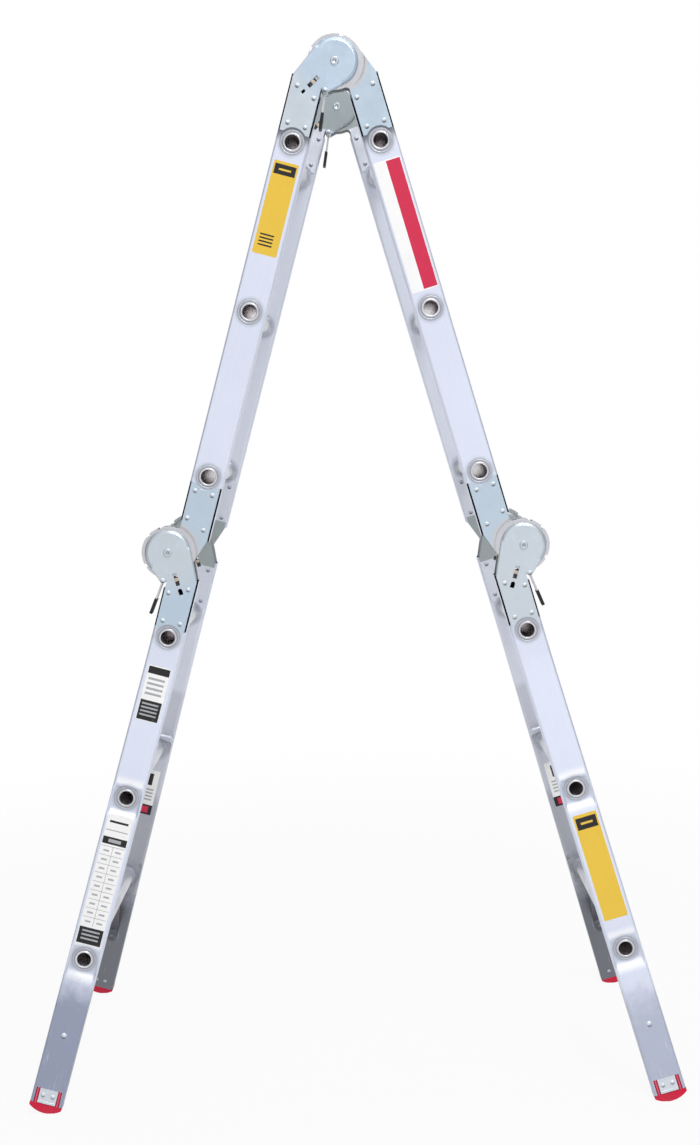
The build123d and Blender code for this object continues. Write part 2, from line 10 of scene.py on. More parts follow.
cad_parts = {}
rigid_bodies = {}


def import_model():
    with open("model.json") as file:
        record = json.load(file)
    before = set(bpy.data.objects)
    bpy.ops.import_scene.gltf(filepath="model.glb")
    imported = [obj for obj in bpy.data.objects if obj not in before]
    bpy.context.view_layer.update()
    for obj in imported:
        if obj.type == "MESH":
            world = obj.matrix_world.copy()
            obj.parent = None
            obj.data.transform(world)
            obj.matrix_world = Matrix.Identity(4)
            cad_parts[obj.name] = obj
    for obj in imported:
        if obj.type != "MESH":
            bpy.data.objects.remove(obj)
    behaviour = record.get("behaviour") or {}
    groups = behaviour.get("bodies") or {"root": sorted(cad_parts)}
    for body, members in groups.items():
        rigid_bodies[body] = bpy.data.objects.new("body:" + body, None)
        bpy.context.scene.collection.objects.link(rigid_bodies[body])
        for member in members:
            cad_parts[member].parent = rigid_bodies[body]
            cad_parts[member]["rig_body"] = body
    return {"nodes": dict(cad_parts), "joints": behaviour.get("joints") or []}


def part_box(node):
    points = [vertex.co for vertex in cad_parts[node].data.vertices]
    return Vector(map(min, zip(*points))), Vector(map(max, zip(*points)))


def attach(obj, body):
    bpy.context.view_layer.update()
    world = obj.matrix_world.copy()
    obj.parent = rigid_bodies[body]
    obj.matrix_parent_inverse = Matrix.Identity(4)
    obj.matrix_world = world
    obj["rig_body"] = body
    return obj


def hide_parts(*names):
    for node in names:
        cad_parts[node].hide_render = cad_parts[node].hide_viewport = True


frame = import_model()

bl_info = {
    "name": "Combination ladder looks",
    "version": (1, 0, 0),
    "blender": (4, 5, 0),
    "location": "3D View > Sidebar > Ladder",
    "description": "Finishes, rivets, labels and feet of a combination ladder, and its stage",
    "category": "Object",
}

MM = 0.001
LEGS = ("left", "right")
HINGES = ("top", "left", "right")
# The way along Y that is outwards on each side
SIDES = {"front": -1, "back": 1}
RUNGS_PER_SECTION = 3
# How dull the lower rails of a leg are near the floor: dirt and oxide, with painted shade that is stronger on
# the left leg
LEG_WEAR_AND_SHADE = {"left": 1.0, "right": 0.62}

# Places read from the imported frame, in metres
NODES = frame["nodes"]
JOINTS = {joint["name"]: joint for joint in frame["joints"]}
LEAN = radians(-JOINTS["top_fold"]["range_deg"][0] / 2)
TOP_PIVOT = Vector(JOINTS["top_fold"]["pos_m"])
RIGHT_LEG = Matrix.Translation(TOP_PIVOT) @ Matrix.Rotation(-LEAN, 4, "Y")
ACROSS = Matrix.Scale(-1, 4, (1, 0, 0))
MIDDLE_PIVOT = RIGHT_LEG.inverted() @ Vector(JOINTS["right_fold"]["pos_m"])
PIVOT_OFFSET = MIDDLE_PIVOT.x / 2
SECTION_LENGTH = -MIDDLE_PIVOT.z
RUNG_PITCH = SECTION_LENGTH / RUNGS_PER_SECTION
RAIL_LOW, RAIL_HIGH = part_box("left_upper_back_rail")
RAIL_Y = (RAIL_LOW.y + RAIL_HIGH.y) / 2
RAIL_FACE = (RAIL_HIGH.y - RAIL_LOW.y) / 2
COVER_LOW, COVER_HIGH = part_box("top_back_hinge_cover")
COVER_FACE = (COVER_HIGH.y - COVER_LOW.y) / 2
TONGUE_LOW, TONGUE_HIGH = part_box("top_back_hinge_tongue")
TONGUE_FACE = (TONGUE_HIGH.y - TONGUE_LOW.y) / 2


# Settings

def number(name, description, default):
    """Property for a plain number."""
    return FloatProperty(name=name, description=description, default=default)


def length(name, description, millimetres):
    """Property for a size, given in millimetres and kept in metres."""
    metres = millimetres * MM
    return FloatProperty(name=name, description=description, default=metres, unit="LENGTH", precision=5)


def angle(name, description, degrees):
    """Property for an angle, given in degrees."""
    return FloatProperty(name=name, description=description, default=radians(degrees), unit="ROTATION")


def colour(name, description, red, green, blue):
    """Property for a colour, in linear light."""
    return FloatVectorProperty(
        name=name, description=description, default=(red, green, blue), subtype="COLOR", size=3, min=0, max=1
    )


class LadderSizes(bpy.types.PropertyGroup):
    """Sizes of the rails, rungs, hinges, feet, rivets and labels."""

    rail_width: length("Rail width", "Width of a rail's outer face", 55)
    rail_corner: length("Rail corner", "Radius of a rail's rounded corners", 4.5)
    rail_wall: length("Rail wall", "Thickness of a rail's wall", 1.8)
    flare: angle("Flare", "Angle by which the lower rails spread", 6.5)
    flare_drop: length("Flare drop", "Distance of the bend below the fourth rung", 50)
    toe_length: length("Toe length", "Distance of a lower rail's end below its last rung", 251)
    dimple_depth: length("Dimple depth", "Depth of the pressed seat round a lower rung", 4.2)
    dimple_height: length("Dimple height", "Height of the flat part of a pressed seat", 41)
    dimple_width: length("Dimple width", "Width of the flat part of a pressed seat", 44)
    dimple_end_slope: angle("Dimple end slope", "Slope of the ends of a pressed seat", 33)
    dimple_side_slope: angle("Dimple side slope", "Slope of the sides of a pressed seat", 55)
    dimple_softness: length("Dimple softness", "How far the edges of a pressed seat are rounded", 1.8)
    dimple_reach: length("Dimple reach", "How far from its rung the wall is pressed", 46)
    ring_step: length("Ring step", "Spacing of the rings of a rail in a pressed seat", 2)
    plain_step: length("Plain step", "Spacing of the rings of a rail elsewhere", 24)
    seam: length("Seam", "Distance of the pressed stretch from the bend and from the toe", 60)
    plate_width: length("Plate width", "Width of the hinge plates on the rails", 49)
    plate_end: length("Plate end", "Distance of the end of a hinge plate from its pivot", 126)
    inner_tab: length("Inner tab", "Drop from the pivot to where an inner plate has the rail's tint", 45)
    rung_radius: length("Rung radius", "Outer radius of a rung", 14.5)
    rung_bore: length("Rung bore", "Inner radius of a rung", 11.8)
    rung_ring: length("Rung ring", "Radius of the swaged ring outside a rail", 20)
    rung_lip: length("Rung lip", "Height of the swaged lip outside a rail", 2)
    rung_collar: length("Rung collar", "Radius of the tapered collar inside a rail", 19)
    rung_collar_length: length("Collar length", "Length of the tapered collar", 9)
    cover_radius: length("Cover radius", "Radius of the disc of a hinge cover", 38.5)
    cover_rim: length("Cover rim", "Width of the rounded rim of a hinge cover", 6.5)
    pin_hollow: length("Pin hollow", "Radius of the hollow in a pin's head", 4)
    bolt_nose: length("Bolt nose", "Distance of the end of a bolt's yellowish nose from the pivot", 50.1)
    rivet_radius: length("Rivet radius", "Radius of a rivet's domed head", 4)
    rivet_height: length("Rivet height", "Height of a rivet's domed head", 1.9)
    foot_rib: length("Foot rib", "Distance of a rib beside the foot plate from the rail's middle", 18.75)
    foot_rivet_spacing: length("Foot rivet spacing", "Distance between the rivets of a foot plate", 16.5)
    foot_rivet_rise: length("Foot rivet rise", "Height of the foot rivets above the rail's end", 14.6)
    foot_plate_face: length("Foot plate face", "Distance of a foot plate's face from its rail's middle", 12.1)
    scuff_top: length("Scuff top", "Height above the floor at which a foot's scuffs begin", 30)
    scuff_bottom: length("Scuff bottom", "Height above the floor below which a foot is scuffed all over", 4)
    brace_rivet: number("Brace rivet", "Size of a brace's rivet, compared with the others", 1.25)
    brace_drop: length("Brace drop", "Distance of a brace's rivet below the last rung", 132)
    brace_thickness: length("Brace thickness", "Thickness of a knee brace", 3)
    label_thickness: length("Label thickness", "Thickness of a blank label", 0.2)
    label_corner: length("Label corner", "Corner radius of a blank label", 2)


class LadderColours(bpy.types.PropertyGroup):
    """Colours of the metals, the plastics and the blank labels, and of painted highlights and shade."""

    rail: colour("Rail", "Drawn aluminium of the rails", 0.72, 0.765, 0.90)
    rail_inner: colour("Rail, inner face", "Aluminium of the faces towards the middle", 0.72, 0.745, 0.83)
    # Dirt and oxide near the floor, with painted shade of the lower parts
    rail_dull: colour("Rail, dulled", "Scuffed aluminium near the floor", 0.31, 0.345, 0.46)
    # Painted shade on the inner faces of the lower rails
    rail_worn: colour("Rail, worn", "Worn inner faces of the lower rails", 0.43, 0.44, 0.495)
    # Painted highlight on the slopes above and below the pressed rung seats
    rail_bright: colour("Rail, burnished", "Burnished ends of the pressed rung seats", 0.93, 0.94, 0.97)
    # Dirt near the floor, a darker halo round the rungs, and painted shade along the rings, under the top
    # hinge plates and on the inner faces near the floor
    rail_dirt: colour("Rail dirt", "Dirt near the floor and round the rungs", 0.18, 0.187, 0.215)
    # Painted shade inside the rails and in the gaps beside the plates
    rail_gap: colour("Rail gap", "Dark inside of the rails and gaps beside the plates", 0.012, 0.012, 0.014)
    rung: colour("Rung", "Drawn aluminium of the rungs", 0.70, 0.72, 0.77)
    bore: colour("Rung bore", "Oxidised inside of the rungs", 0.70, 0.66, 0.68)
    groove: colour("Ring groove", "Dirt in the groove of a swaged ring", 0.36, 0.36, 0.40)
    # Painted shade on the bead of a swaged ring
    ring: colour("Swaged ring", "Greyer metal of a swaged ring", 0.50, 0.52, 0.58)
    cover: colour("Hinge cover", "Bluish zinc on the hinge covers", 0.485, 0.59, 0.71)
    cover_grey: colour("Hinge cover, greyer", "Greyer zinc on parts of the covers", 0.56, 0.62, 0.68)
    tongue: colour("Hinge tongue", "Bluish zinc on the hinge tongues", 0.485, 0.585, 0.685)
    tongue_disc: colour("Tongue disc", "Greyer zinc round the pivot", 0.56, 0.565, 0.60)
    # Painted shade on the greenish zinc of the inner hinge plates
    inner_plate_shade: colour("Inner plates", "Shaded, greenish zinc of the inner hinge plates", 0.33, 0.37, 0.37)
    passivated: colour("Zinc blotches", "Yellowish blotches on the zinc", 0.52, 0.54, 0.52)
    rivet: colour("Rivet", "Bright rivets and pins", 0.58, 0.63, 0.69)
    # Painted shade on the rivet heads of the inner faces
    rivet_inner: colour("Inner rivet", "Duller rivet heads on the inner faces", 0.38, 0.39, 0.48)
    bolt: colour("Bolt", "Dark steel of the lock bolts", 0.03, 0.027, 0.027)
    bolt_nose: colour("Bolt nose", "Yellowish nose of the lock bolts", 0.56, 0.48, 0.37)
    spring: colour("Spring", "Blued steel of the leaf springs", 0.16, 0.17, 0.20)
    lever: colour("Lever", "Zinc on the release levers", 0.58, 0.58, 0.60)
    grip: colour("Grip", "Black plastic on the levers", 0.018, 0.018, 0.02)
    foot: colour("Foot", "Red plastic of the feet", 0.68, 0.012, 0.052)
    # Painted highlight on the crowns of the ribs on the feet
    foot_sheen: colour("Foot sheen", "Paler crowns of the ribs on the feet", 0.74, 0.20, 0.28)
    foot_plate: colour("Foot plate", "Zinc on the foot plates", 0.66, 0.70, 0.77)
    # Painted shade: the zinc braces get the dark tint of the shade they sit in
    brace: colour("Brace", "Dull zinc on the knee braces", 0.115, 0.115, 0.14)
    label_yellow: colour("Yellow label", "Yellow vinyl", 0.84, 0.56, 0.07)
    label_white: colour("White label", "White vinyl", 0.95, 0.95, 0.95)
    label_red: colour("Red label", "Red vinyl", 0.66, 0.035, 0.09)
    label_dark: colour("Dark label", "Black vinyl", 0.022, 0.021, 0.023)
    label_grey: colour("Grey label", "Grey marks on the vinyl", 0.42, 0.43, 0.46)


class LadderStage(bpy.types.PropertyGroup):
    """Camera and light of the studio."""

    camera_place: FloatVectorProperty(
        name="Camera place",
        description="Where the camera stands",
        default=(0.016991, -2.393941, 1.142209),
        subtype="TRANSLATION",
        unit="LENGTH",
    )
    yaw: angle("Yaw", "Turn of the camera to the right", -0.269)
    pitch: angle("Pitch", "Tilt of the camera downwards", 6.25)
    roll: angle("Roll", "Turn of the camera about its own axis", -1.285)
    lens: number("Lens", "Focal length on a 36 mm high sensor", 41.98)
    aim_height: length("Aim height", "Height at which the lamps look", 900)
    key_power: number("Key lamp", "Power of the lamp in front and above", 80)
    top_power: number("Top lamp", "Power of the lamp overhead", 42)
    fill_power: number("Fill lamp", "Power of the low lamp in front", 26)
    ambient: number("Ambient", "Strength of the even light", 0.42)
    side_light: number("Side light", "Share of the even light that comes from both sides", 0.25)
    floor_white: number("Floor white", "Share of plain white in the floor under the ladder", 0.92)


def ladder_sizes():
    """Sizes of the pieces, as they are set in the scene."""
    return bpy.context.scene.ladder_sizes


def ladder_colours():
    """Colours of the pieces, as they are set in the scene."""
    return bpy.context.scene.ladder_colours


# Frames of the legs and of the rails

def leg_place(leg):
    """From an upright leg, with its top pivot at the origin, to its place in the A-frame."""
    return RIGHT_LEG if leg == "right" else ACROSS @ RIGHT_LEG


def rung_heights(level):
    """Heights of a section's rungs on its upright leg."""
    start = -RUNG_PITCH / 2 - (SECTION_LENGTH if level == "lower" else 0)
    return [start - RUNG_PITCH * k for k in range(RUNGS_PER_SECTION)]


def bend_height():
    """Height on the upright leg at which the lower rails bend outwards."""
    return rung_heights("lower")[0] - ladder_sizes().flare_drop


def along_flared(height):
    """Place along a lower rail, from its bend, of a height on the upright leg."""
    return (height - bend_height()) / cos(ladder_sizes().flare)


def toe_place():
    """Place of a lower rail's end along it."""
    return along_flared(rung_heights("lower")[-1] - ladder_sizes().toe_length)


def flared_y(z):
    """Distance of a lower rail's centre line from the middle of the ladder."""
    return RAIL_Y + max(0.0, bend_height() - z) * tan(ladder_sizes().flare)


def seat_depth():
    """Distance of a pressed seat from the centre line of its rail, along the rung."""
    sizes = ladder_sizes()
    return RAIL_FACE / cos(sizes.flare) - sizes.dimple_depth


def rail_place(leg, level, side):
    """From a rail's own frame to its place: Z along the rail and +Y towards the outside."""
    centre_line = (PIVOT_OFFSET, SIDES[side] * RAIL_Y, bend_height() if level == "lower" else 0)
    half_turn = Matrix.Rotation(pi if side == "front" else 0, 4, "Z")
    slant = Matrix.Rotation(ladder_sizes().flare if level == "lower" else 0, 4, "X")
    return leg_place(leg) @ (Matrix.Translation(centre_line) @ half_turn @ slant)


def section(leg, level):
    """Name of the body that a section of the ladder is."""
    return f"{leg}_{level}_section"


def hinge_halves(hinge):
    """For the cover and the tongue of a hinge: its body, and its place from the top pivot's frame."""
    if hinge == "top":
        return {
            "cover": (section("left", "upper"), leg_place("left")),
            "tongue": (section("right", "upper"), leg_place("right")),
        }
    pivot = leg_place(hinge) @ Matrix.Translation(MIDDLE_PIVOT)
    return {
        "cover": (section(hinge, "lower"), pivot @ ACROSS),
        "tongue": (section(hinge, "upper"), pivot @ Matrix.Rotation(pi, 4, "Y")),
    }


# Finishes

class Value:
    """One number in a node tree, ready for sums; a bar between two gives the larger."""

    def __init__(self, nodes, socket):
        self.nodes = nodes
        self.socket = socket

    def __add__(self, other):
        return self.nodes.math("ADD", self, other)

    def __sub__(self, other):
        return self.nodes.math("SUBTRACT", self, other)

    def __rsub__(self, other):
        return self.nodes.math("SUBTRACT", other, self)

    def __mul__(self, other):
        return self.nodes.math("MULTIPLY", self, other)

    def __truediv__(self, other):
        return self.nodes.math("DIVIDE", self, other)

    def __or__(self, other):
        return self.nodes.math("MAXIMUM", self, other)

    def __neg__(self):
        return self * -1.0

    def __abs__(self):
        return self.nodes.math("ABSOLUTE", self)


class Nodes:
    """A node tree, built up node by node."""

    def __init__(self, tree):
        self.tree = tree
        tree.nodes.clear()

    def plug(self, socket, value):
        """Link a socket to another, or set its value."""
        if isinstance(value, Value):
            value = value.socket
        if isinstance(value, bpy.types.NodeSocket):
            self.tree.links.new(value, socket)
        elif socket.type == "RGBA":
            socket.default_value = (*value, 1)
        else:
            socket.default_value = value

    def add(self, kind, settings=None, **sockets):
        """New node with its settings and sockets."""
        node = self.tree.nodes.new(kind)
        for name, value in (settings or {}).items():
            setattr(node, name, value)
        for name, value in sockets.items():
            self.plug(node.inputs[name.replace("_", " ")], value)
        return node

    def values(self, kind, settings=None, **sockets):
        """Numbers that a new node gives, by their names."""
        outputs = self.add(kind, settings, **sockets).outputs
        return {socket.name: Value(self, socket) for socket in outputs}

    def axes(self, vector):
        """Coordinates of a vector, by the names of the axes."""
        return self.values("ShaderNodeSeparateXYZ", Vector=vector)

    def reach(self, vector):
        """Length of a vector."""
        return self.values("ShaderNodeVectorMath", {"operation": "LENGTH"}, Vector=vector)["Value"]

    def from_axis(self, first, second):
        """Distance from an axis, out of the two coordinates across it."""
        return self.reach(self.add("ShaderNodeCombineXYZ", X=first, Z=second).outputs["Vector"])

    def math(self, operation, first, second=0.0):
        """One sum on two numbers."""
        made = self.add("ShaderNodeMath", {"operation": operation})
        self.plug(made.inputs[0], first)
        self.plug(made.inputs[1], second)
        return Value(self, made.outputs["Value"])

    def ramp(self, value, low, high, bottom=0.0, top=1.0):
        """Smooth step from one value to another."""
        made = self.values(
            "ShaderNodeMapRange", {"interpolation_type": "SMOOTHSTEP"},
            Value=value, From_Min=low, From_Max=high, To_Min=bottom, To_Max=top,
        )
        return made["Result"]

    def mix(self, factor, first, second):
        """Mix of two colours."""
        made = self.add("ShaderNodeMix", {"data_type": "RGBA"})
        for index, value in ((0, factor), (6, first), (7, second)):
            self.plug(made.inputs[index], value)
        return made.outputs[2]


class Finish(Nodes):
    """One procedural material on a principled shader."""

    def __init__(self, name, **shader):
        self.material = bpy.data.materials.new(name)
        self.material.use_nodes = True
        super().__init__(self.material.node_tree)
        self.shader = self.add("ShaderNodeBsdfPrincipled")
        self.output = self.add("ShaderNodeOutputMaterial", Surface=self.shader.outputs["BSDF"])
        self.shade(**shader)

    def shade(self, **sockets):
        """Set or link sockets of the shader."""
        for name, value in sockets.items():
            self.plug(self.shader.inputs[name.replace("_", " ")], value)

    def place(self, to_world=None):
        """Object coordinates, taken into the frame of a piece that may be mirrored."""
        vector = self.add("ShaderNodeTexCoord").outputs["Object"]
        if to_world is None:
            return vector
        mirrored = to_world.determinant() < 0
        rigid = (ACROSS @ to_world if mirrored else to_world).inverted()
        mapping = self.add(
            "ShaderNodeMapping", Vector=vector, Location=rigid.to_translation(),
            Rotation=rigid.to_euler(), Scale=(-1 if mirrored else 1, 1, 1),
        )
        return mapping.outputs["Vector"]

    def noise(self, vector, scale, detail, roughness, stretch=None):
        """Noise, drawn out along an axis where stretch is small."""
        if stretch:
            vector = self.add("ShaderNodeMapping", Vector=vector, Scale=stretch).outputs["Vector"]
        made = self.values(
            "ShaderNodeTexNoise", Vector=vector, Scale=scale, Detail=detail, Roughness=roughness
        )
        return made["Fac"]

    def varied(self, noise, tint, darker, lighter):
        """A tint that a noise makes darker and lighter."""
        return self.mix(noise, shifted(tint, darker), shifted(tint, lighter))

    def rough(self, noise, low, high):
        """Roughness that follows a noise."""
        return self.ramp(noise, 0.3, 0.7, low, high)

    def bump(self, height, distance, strength=1.0, below=None):
        """Raise the surface by a height, on top of an earlier bump."""
        made = self.add("ShaderNodeBump", Height=height, Distance=distance, Strength=strength)
        if below:
            self.plug(made.inputs["Normal"], below)
        self.shade(Normal=made.outputs["Normal"])
        return made.outputs["Normal"]


def shifted(tint, factor):
    """A colour made lighter or darker."""
    return tuple(min(1.0, part * factor) for part in tint)


def dusty(tint, share, dust):
    """A share of a colour, under grey dust."""
    return tuple(part * share + dust for part in tint)


def gap_shade_mask(made, axes, middle, reach):
    """Mask of painted shade inside a rail and in the gaps beside its outer hinge plates.

    The plates are on the rail beyond a reach from its middle.
    """
    sizes = ladder_sizes()
    aside = abs(axes["X"])
    deep = abs(made.axes(made.place())["Y"]) - RAIL_Y
    edge = sizes.plate_width / 2
    corner = made.ramp(aside, edge - 0.4 * MM, edge + 0.2 * MM)
    corner = corner * made.ramp(deep, RAIL_FACE - 3.2 * MM, RAIL_FACE - 2.2 * MM)
    wall = sizes.rail_wall * 0.6
    width = sizes.rail_width / 2 - wall
    depth = RAIL_FACE - wall
    within = made.ramp(aside, width, width - 0.3 * MM)
    within = within * made.ramp(abs(deep), depth, depth - 0.3 * MM)
    return (corner | within) * made.ramp(abs(axes["Z"] - middle), reach - MM, reach + MM)


def above_rung(made, z, first_rung, pitch):
    """Height above the nearest rung."""
    turn = (z - first_rung) / pitch
    return (made.math("FRACT", turn + 0.5) - 0.5) * pitch


def rung_halo_and_shade(made, axes, above, scuffs, inner):
    """Mask of a darker halo round the swaged rings, and of a line of painted shade along them that is weaker
    inside.
    """
    ring = ladder_sizes().rung_ring
    distance = made.from_axis(axes["X"], above)
    halo = made.ramp(distance + scuffs * (6 * MM), ring + 11 * MM, ring + 2 * MM, 0.0, 0.38)
    line = made.ramp(distance, ring + 2.2 * MM, ring + 0.7 * MM, 0.0, 0.55)
    return halo | (line * (1 - inner * 0.7))


def pressed_light_and_shade(made, tint, axes, above):
    """Tint of a lower rail with its pressed seats: painted shade in the seats, and a painted highlight on the
    slopes above and below the rungs.
    """
    colours = ladder_colours()
    half = ladder_sizes().dimple_height / 2
    edge = ladder_sizes().dimple_width / 2
    upper = made.ramp(above, half - MM, half + 4 * MM) * made.ramp(above, 38 * MM, 26 * MM)
    lower = made.ramp(-above, half + MM, half + 6 * MM) * made.ramp(-above, 42 * MM, 32 * MM)
    seat = made.ramp(abs(above), half + 2 * MM, half - 3 * MM)
    pressed = made.ramp(axes["Z"], -100 * MM, -120 * MM) * made.ramp(axes["Y"], 0.0, 4 * MM)
    pressed = pressed * made.ramp(abs(axes["X"]), edge + 2 * MM, edge - MM)
    # Painted shade in the pressed seat
    tint = made.mix(seat * pressed * 0.35, tint, shifted(colours.rail, 0.62))
    # Painted highlight on the slopes at both ends of the seat
    return made.mix((upper | lower) * pressed * 0.85, tint, colours.rail_bright)


def wear_and_shade_tint(made, tint, axes, inner, height, wear_and_shade):
    """Tint of a lower rail near the floor, by the height above its last rung.

    The inner face gets painted shade, and dirt with painted shade towards the floor. The outer one is dull
    there, with dirt, oxide and painted shade, from higher up on a rail that is given more of it.
    """
    colours = ladder_colours()
    # Painted shade on the inner faces: part of it below the bend, all of it towards the floor
    shaded = made.ramp(axes["Z"], -100 * MM, -115 * MM, 0.0, 0.42) | made.ramp(height, 300 * MM, 200 * MM)
    tint = made.mix(inner * shaded, tint, colours.rail_worn)
    # Outer faces near the floor: dull with dirt and oxide, and painted shade; it starts higher on the left
    # leg, which gets more painted shade
    rise = 120 * MM * (wear_and_shade - LEG_WEAR_AND_SHADE["right"])
    dull = made.ramp(height, rise, 0.7 * rise - 80 * MM)
    tint = made.mix(dull * wear_and_shade, tint, colours.rail_dull)
    # Inner faces near the floor: dirt and painted shade
    return made.mix(inner * made.ramp(height, 30 * MM, -30 * MM), tint, colours.rail_dirt)


def rail_finish(name, to_world, first_rung, pitch, plated, wear_and_shade=None):
    """Drawn aluminium: fine lines along the rail, a darker halo round the rungs, and painted shade along the
    rings, under the top plates, beside the plates and inside the rail.

    A lower rail is given how dull it is near the floor, from dirt, oxide and painted shade.
    """
    colours = ladder_colours()
    made = Finish(name)
    place = made.place(to_world)
    axes = made.axes(place)
    lines = made.noise(place, 40.0, 4.0, 0.65, stretch=(22, 22, 0.12))
    scratches = made.ramp(made.noise(place, 60.0, 2.0, 0.5, stretch=(9, 9, 0.35)), 0.66, 0.74)
    scuffs = made.noise(place, 28.0, 5.0, 0.7)
    above = above_rung(made, axes["Z"], first_rung, pitch)
    inner = made.ramp(axes["Y"], 4 * MM, -6 * MM)
    tint = made.varied(made.noise(place, 5.0, 4.0, 0.6), colours.rail, 0.94, 1.06)
    tint = made.mix(made.ramp(lines, 0.35, 0.7, 0.0, 0.22), tint, shifted(colours.rail, 0.80))
    if wear_and_shade:
        tint = pressed_light_and_shade(made, tint, axes, above)
    tint = made.mix(inner * 0.7, tint, colours.rail_inner)
    if wear_and_shade:
        last_rung = first_rung - (RUNGS_PER_SECTION - 1) * pitch
        height = axes["Z"] - last_rung + scuffs * (100 * MM)
        tint = wear_and_shade_tint(made, tint, axes, inner, height, wear_and_shade)
    # Darker halo round the rings, and painted shade along their edges
    tint = made.mix(rung_halo_and_shade(made, axes, above, scuffs, inner), tint, colours.rail_dirt)
    tint = made.mix(scratches * 0.3, tint, shifted(colours.rail, 1.12))
    # Painted shadow of the top hinge plates, on the outer face just above the top rung
    if not wear_and_shade:
        under = made.ramp(axes["Z"], first_rung - 4 * MM, first_rung + 11 * MM, 0.0, 0.9)
        under = under * made.ramp(axes["Y"], RAIL_FACE - 3 * MM, RAIL_FACE - MM)
        tint = made.mix(under, tint, colours.rail_dirt)
    # Painted shade: near black and without shine inside the rail and beside the plates
    gaps = gap_shade_mask(made, axes, *plated)
    made.shade(
        Base_Color=made.mix(gaps, tint, colours.rail_gap),
        Roughness=made.ramp(lines, 0.3, 0.75, 0.28, 0.42) + gaps * 0.14,
        Specular_IOR_Level=0.5 - gaps * 0.5,
        Metallic=0.55 - gaps * 0.55,
    )
    made.bump(lines - scratches * 0.6, 0.12 * MM, 0.5)
    return made.material


def rung_finish():
    """Drawn aluminium tube, with fine lines along the rung and rubbed patches underfoot."""
    tint = ladder_colours().rung
    made = Finish("rung_aluminium", Metallic=0.6)
    place = made.place()
    lines = made.noise(place, 40.0, 4.0, 0.6, stretch=(20, 0.15, 20))
    rubbed = made.ramp(made.noise(place, 9.0, 4.0, 0.6), 0.42, 0.66)
    blend = made.varied(rubbed, tint, 0.86, 1.06)
    blend = made.mix(made.ramp(lines, 0.4, 0.75, 0, 0.2), blend, shifted(tint, 0.7))
    made.shade(Base_Color=blend, Roughness=made.ramp(lines, 0.3, 0.75, 0.28, 0.44))
    made.bump(lines, 0.1 * MM, 0.5)
    return made.material


def tube_tint(name, tint, metallic, gloss):
    """Streaked tint: oxide inside a tube, dirt in the groove round its end, and painted shade on the ring
    round it.
    """
    made = Finish(name, Metallic=metallic)
    streaks = made.noise(made.place(), 60.0, 3.0, 0.6, stretch=(4, 0.3, 4))
    made.shade(
        Base_Color=made.varied(streaks, tint, 0.85, 1.15),
        Roughness=made.rough(streaks, gloss - 0.03, gloss + 0.08),
    )
    return made.material


def zinc_tint(made, place, tint, amount):
    """Colour of zinc plating, with passivated blotches and rubbed marks, and the clouds in it."""
    clouds = made.noise(place, 32.0, 5.0, 0.62)
    patches = made.ramp(made.noise(place, 70.0, 3.0, 0.55), 0.52, 0.68, 0.0, amount)
    rubs = made.ramp(made.noise(place, 150.0, 2.0, 0.5, stretch=(1, 1, 0.25)), 0.62, 0.72, 0.0, 0.25)
    blend = made.mix(patches, made.varied(clouds, tint, 0.90, 1.08), ladder_colours().passivated)
    return made.mix(rubs, blend, shifted(tint, 1.2)), clouds


def zinc_finish(name, tint, amount, gloss):
    """Zinc plating on pressed steel."""
    made = Finish(name, Metallic=0.55)
    blend, clouds = zinc_tint(made, made.place(), tint, amount)
    made.shade(Base_Color=blend, Roughness=made.rough(clouds, gloss - 0.06, gloss + 0.10))
    made.bump(clouds, 0.2 * MM, 0.35)
    return made.material


def hinge_finish(name, to_world, tint, disc_tint, amount, rounded):
    """Zinc on hinge plates, of another tint on the disc, which may have a rounded rim.

    The inner plates get painted shade, with pale tabs. The rim is flat where the tab leaves the disc.
    """
    colours = ladder_colours()
    sizes = ladder_sizes()
    made = Finish(name, Metallic=0.5)
    place = made.place(to_world)
    axes = made.axes(place)
    blend, clouds = zinc_tint(made, place, tint, amount)
    distance = made.from_axis(axes["X"], axes["Z"])
    edge = sizes.cover_radius
    fade_start, fade_end = (46 * MM, -2 * MM) if rounded else (18 * MM, 12 * MM)
    near = made.ramp(distance, edge + fade_start, edge + fade_end)
    blend = made.mix(near, blend, zinc_tint(made, place, disc_tint, amount)[0])
    # Painted shade on the inner plates, but not on their tabs
    inside = made.ramp(abs(axes["Y"]), RAIL_Y + 2 * MM, RAIL_Y - 2 * MM)
    tab = made.ramp(axes["Z"], MM - sizes.inner_tab, -MM - sizes.inner_tab)
    blend = made.mix(inside * 0.85, blend, made.mix(tab, colours.inner_plate_shade, colours.rail_inner))
    made.shade(Base_Color=blend, Roughness=made.rough(clouds, 0.32, 0.46))
    below = None
    if rounded:
        tab_x, tab_z = 0.65, -0.76
        towards = axes["X"] * tab_x + axes["Z"] * tab_z
        free = made.ramp(towards / distance, 0.36, 0.14)
        rim = made.ramp(distance, edge - sizes.cover_rim, edge + MM, 0.0, -3.4 * MM)
        below = made.bump(rim * free, 1.0)
    made.bump(clouds, 0.2 * MM, 0.35, below)
    return made.material


def bolt_finish(name, to_world):
    """Steel of a lock bolt: dark, with a yellowish nose towards the pivot."""
    colours = ladder_colours()
    made = Finish(name, Metallic=0.3)
    place = made.place(to_world)
    axes = made.axes(place)
    grain = made.noise(place, 300.0, 3.0, 0.6)
    end = ladder_sizes().bolt_nose
    nose = made.ramp(made.from_axis(axes["X"], axes["Z"]), end + 0.4 * MM, end - 0.4 * MM)
    tint = made.mix(nose, colours.bolt, colours.bolt_nose)
    made.shade(
        Base_Color=made.mix(made.ramp(grain, 0.5, 0.7, 0.0, 0.5), tint, colours.bolt),
        Roughness=made.rough(grain, 0.42, 0.6),
    )
    return made.material


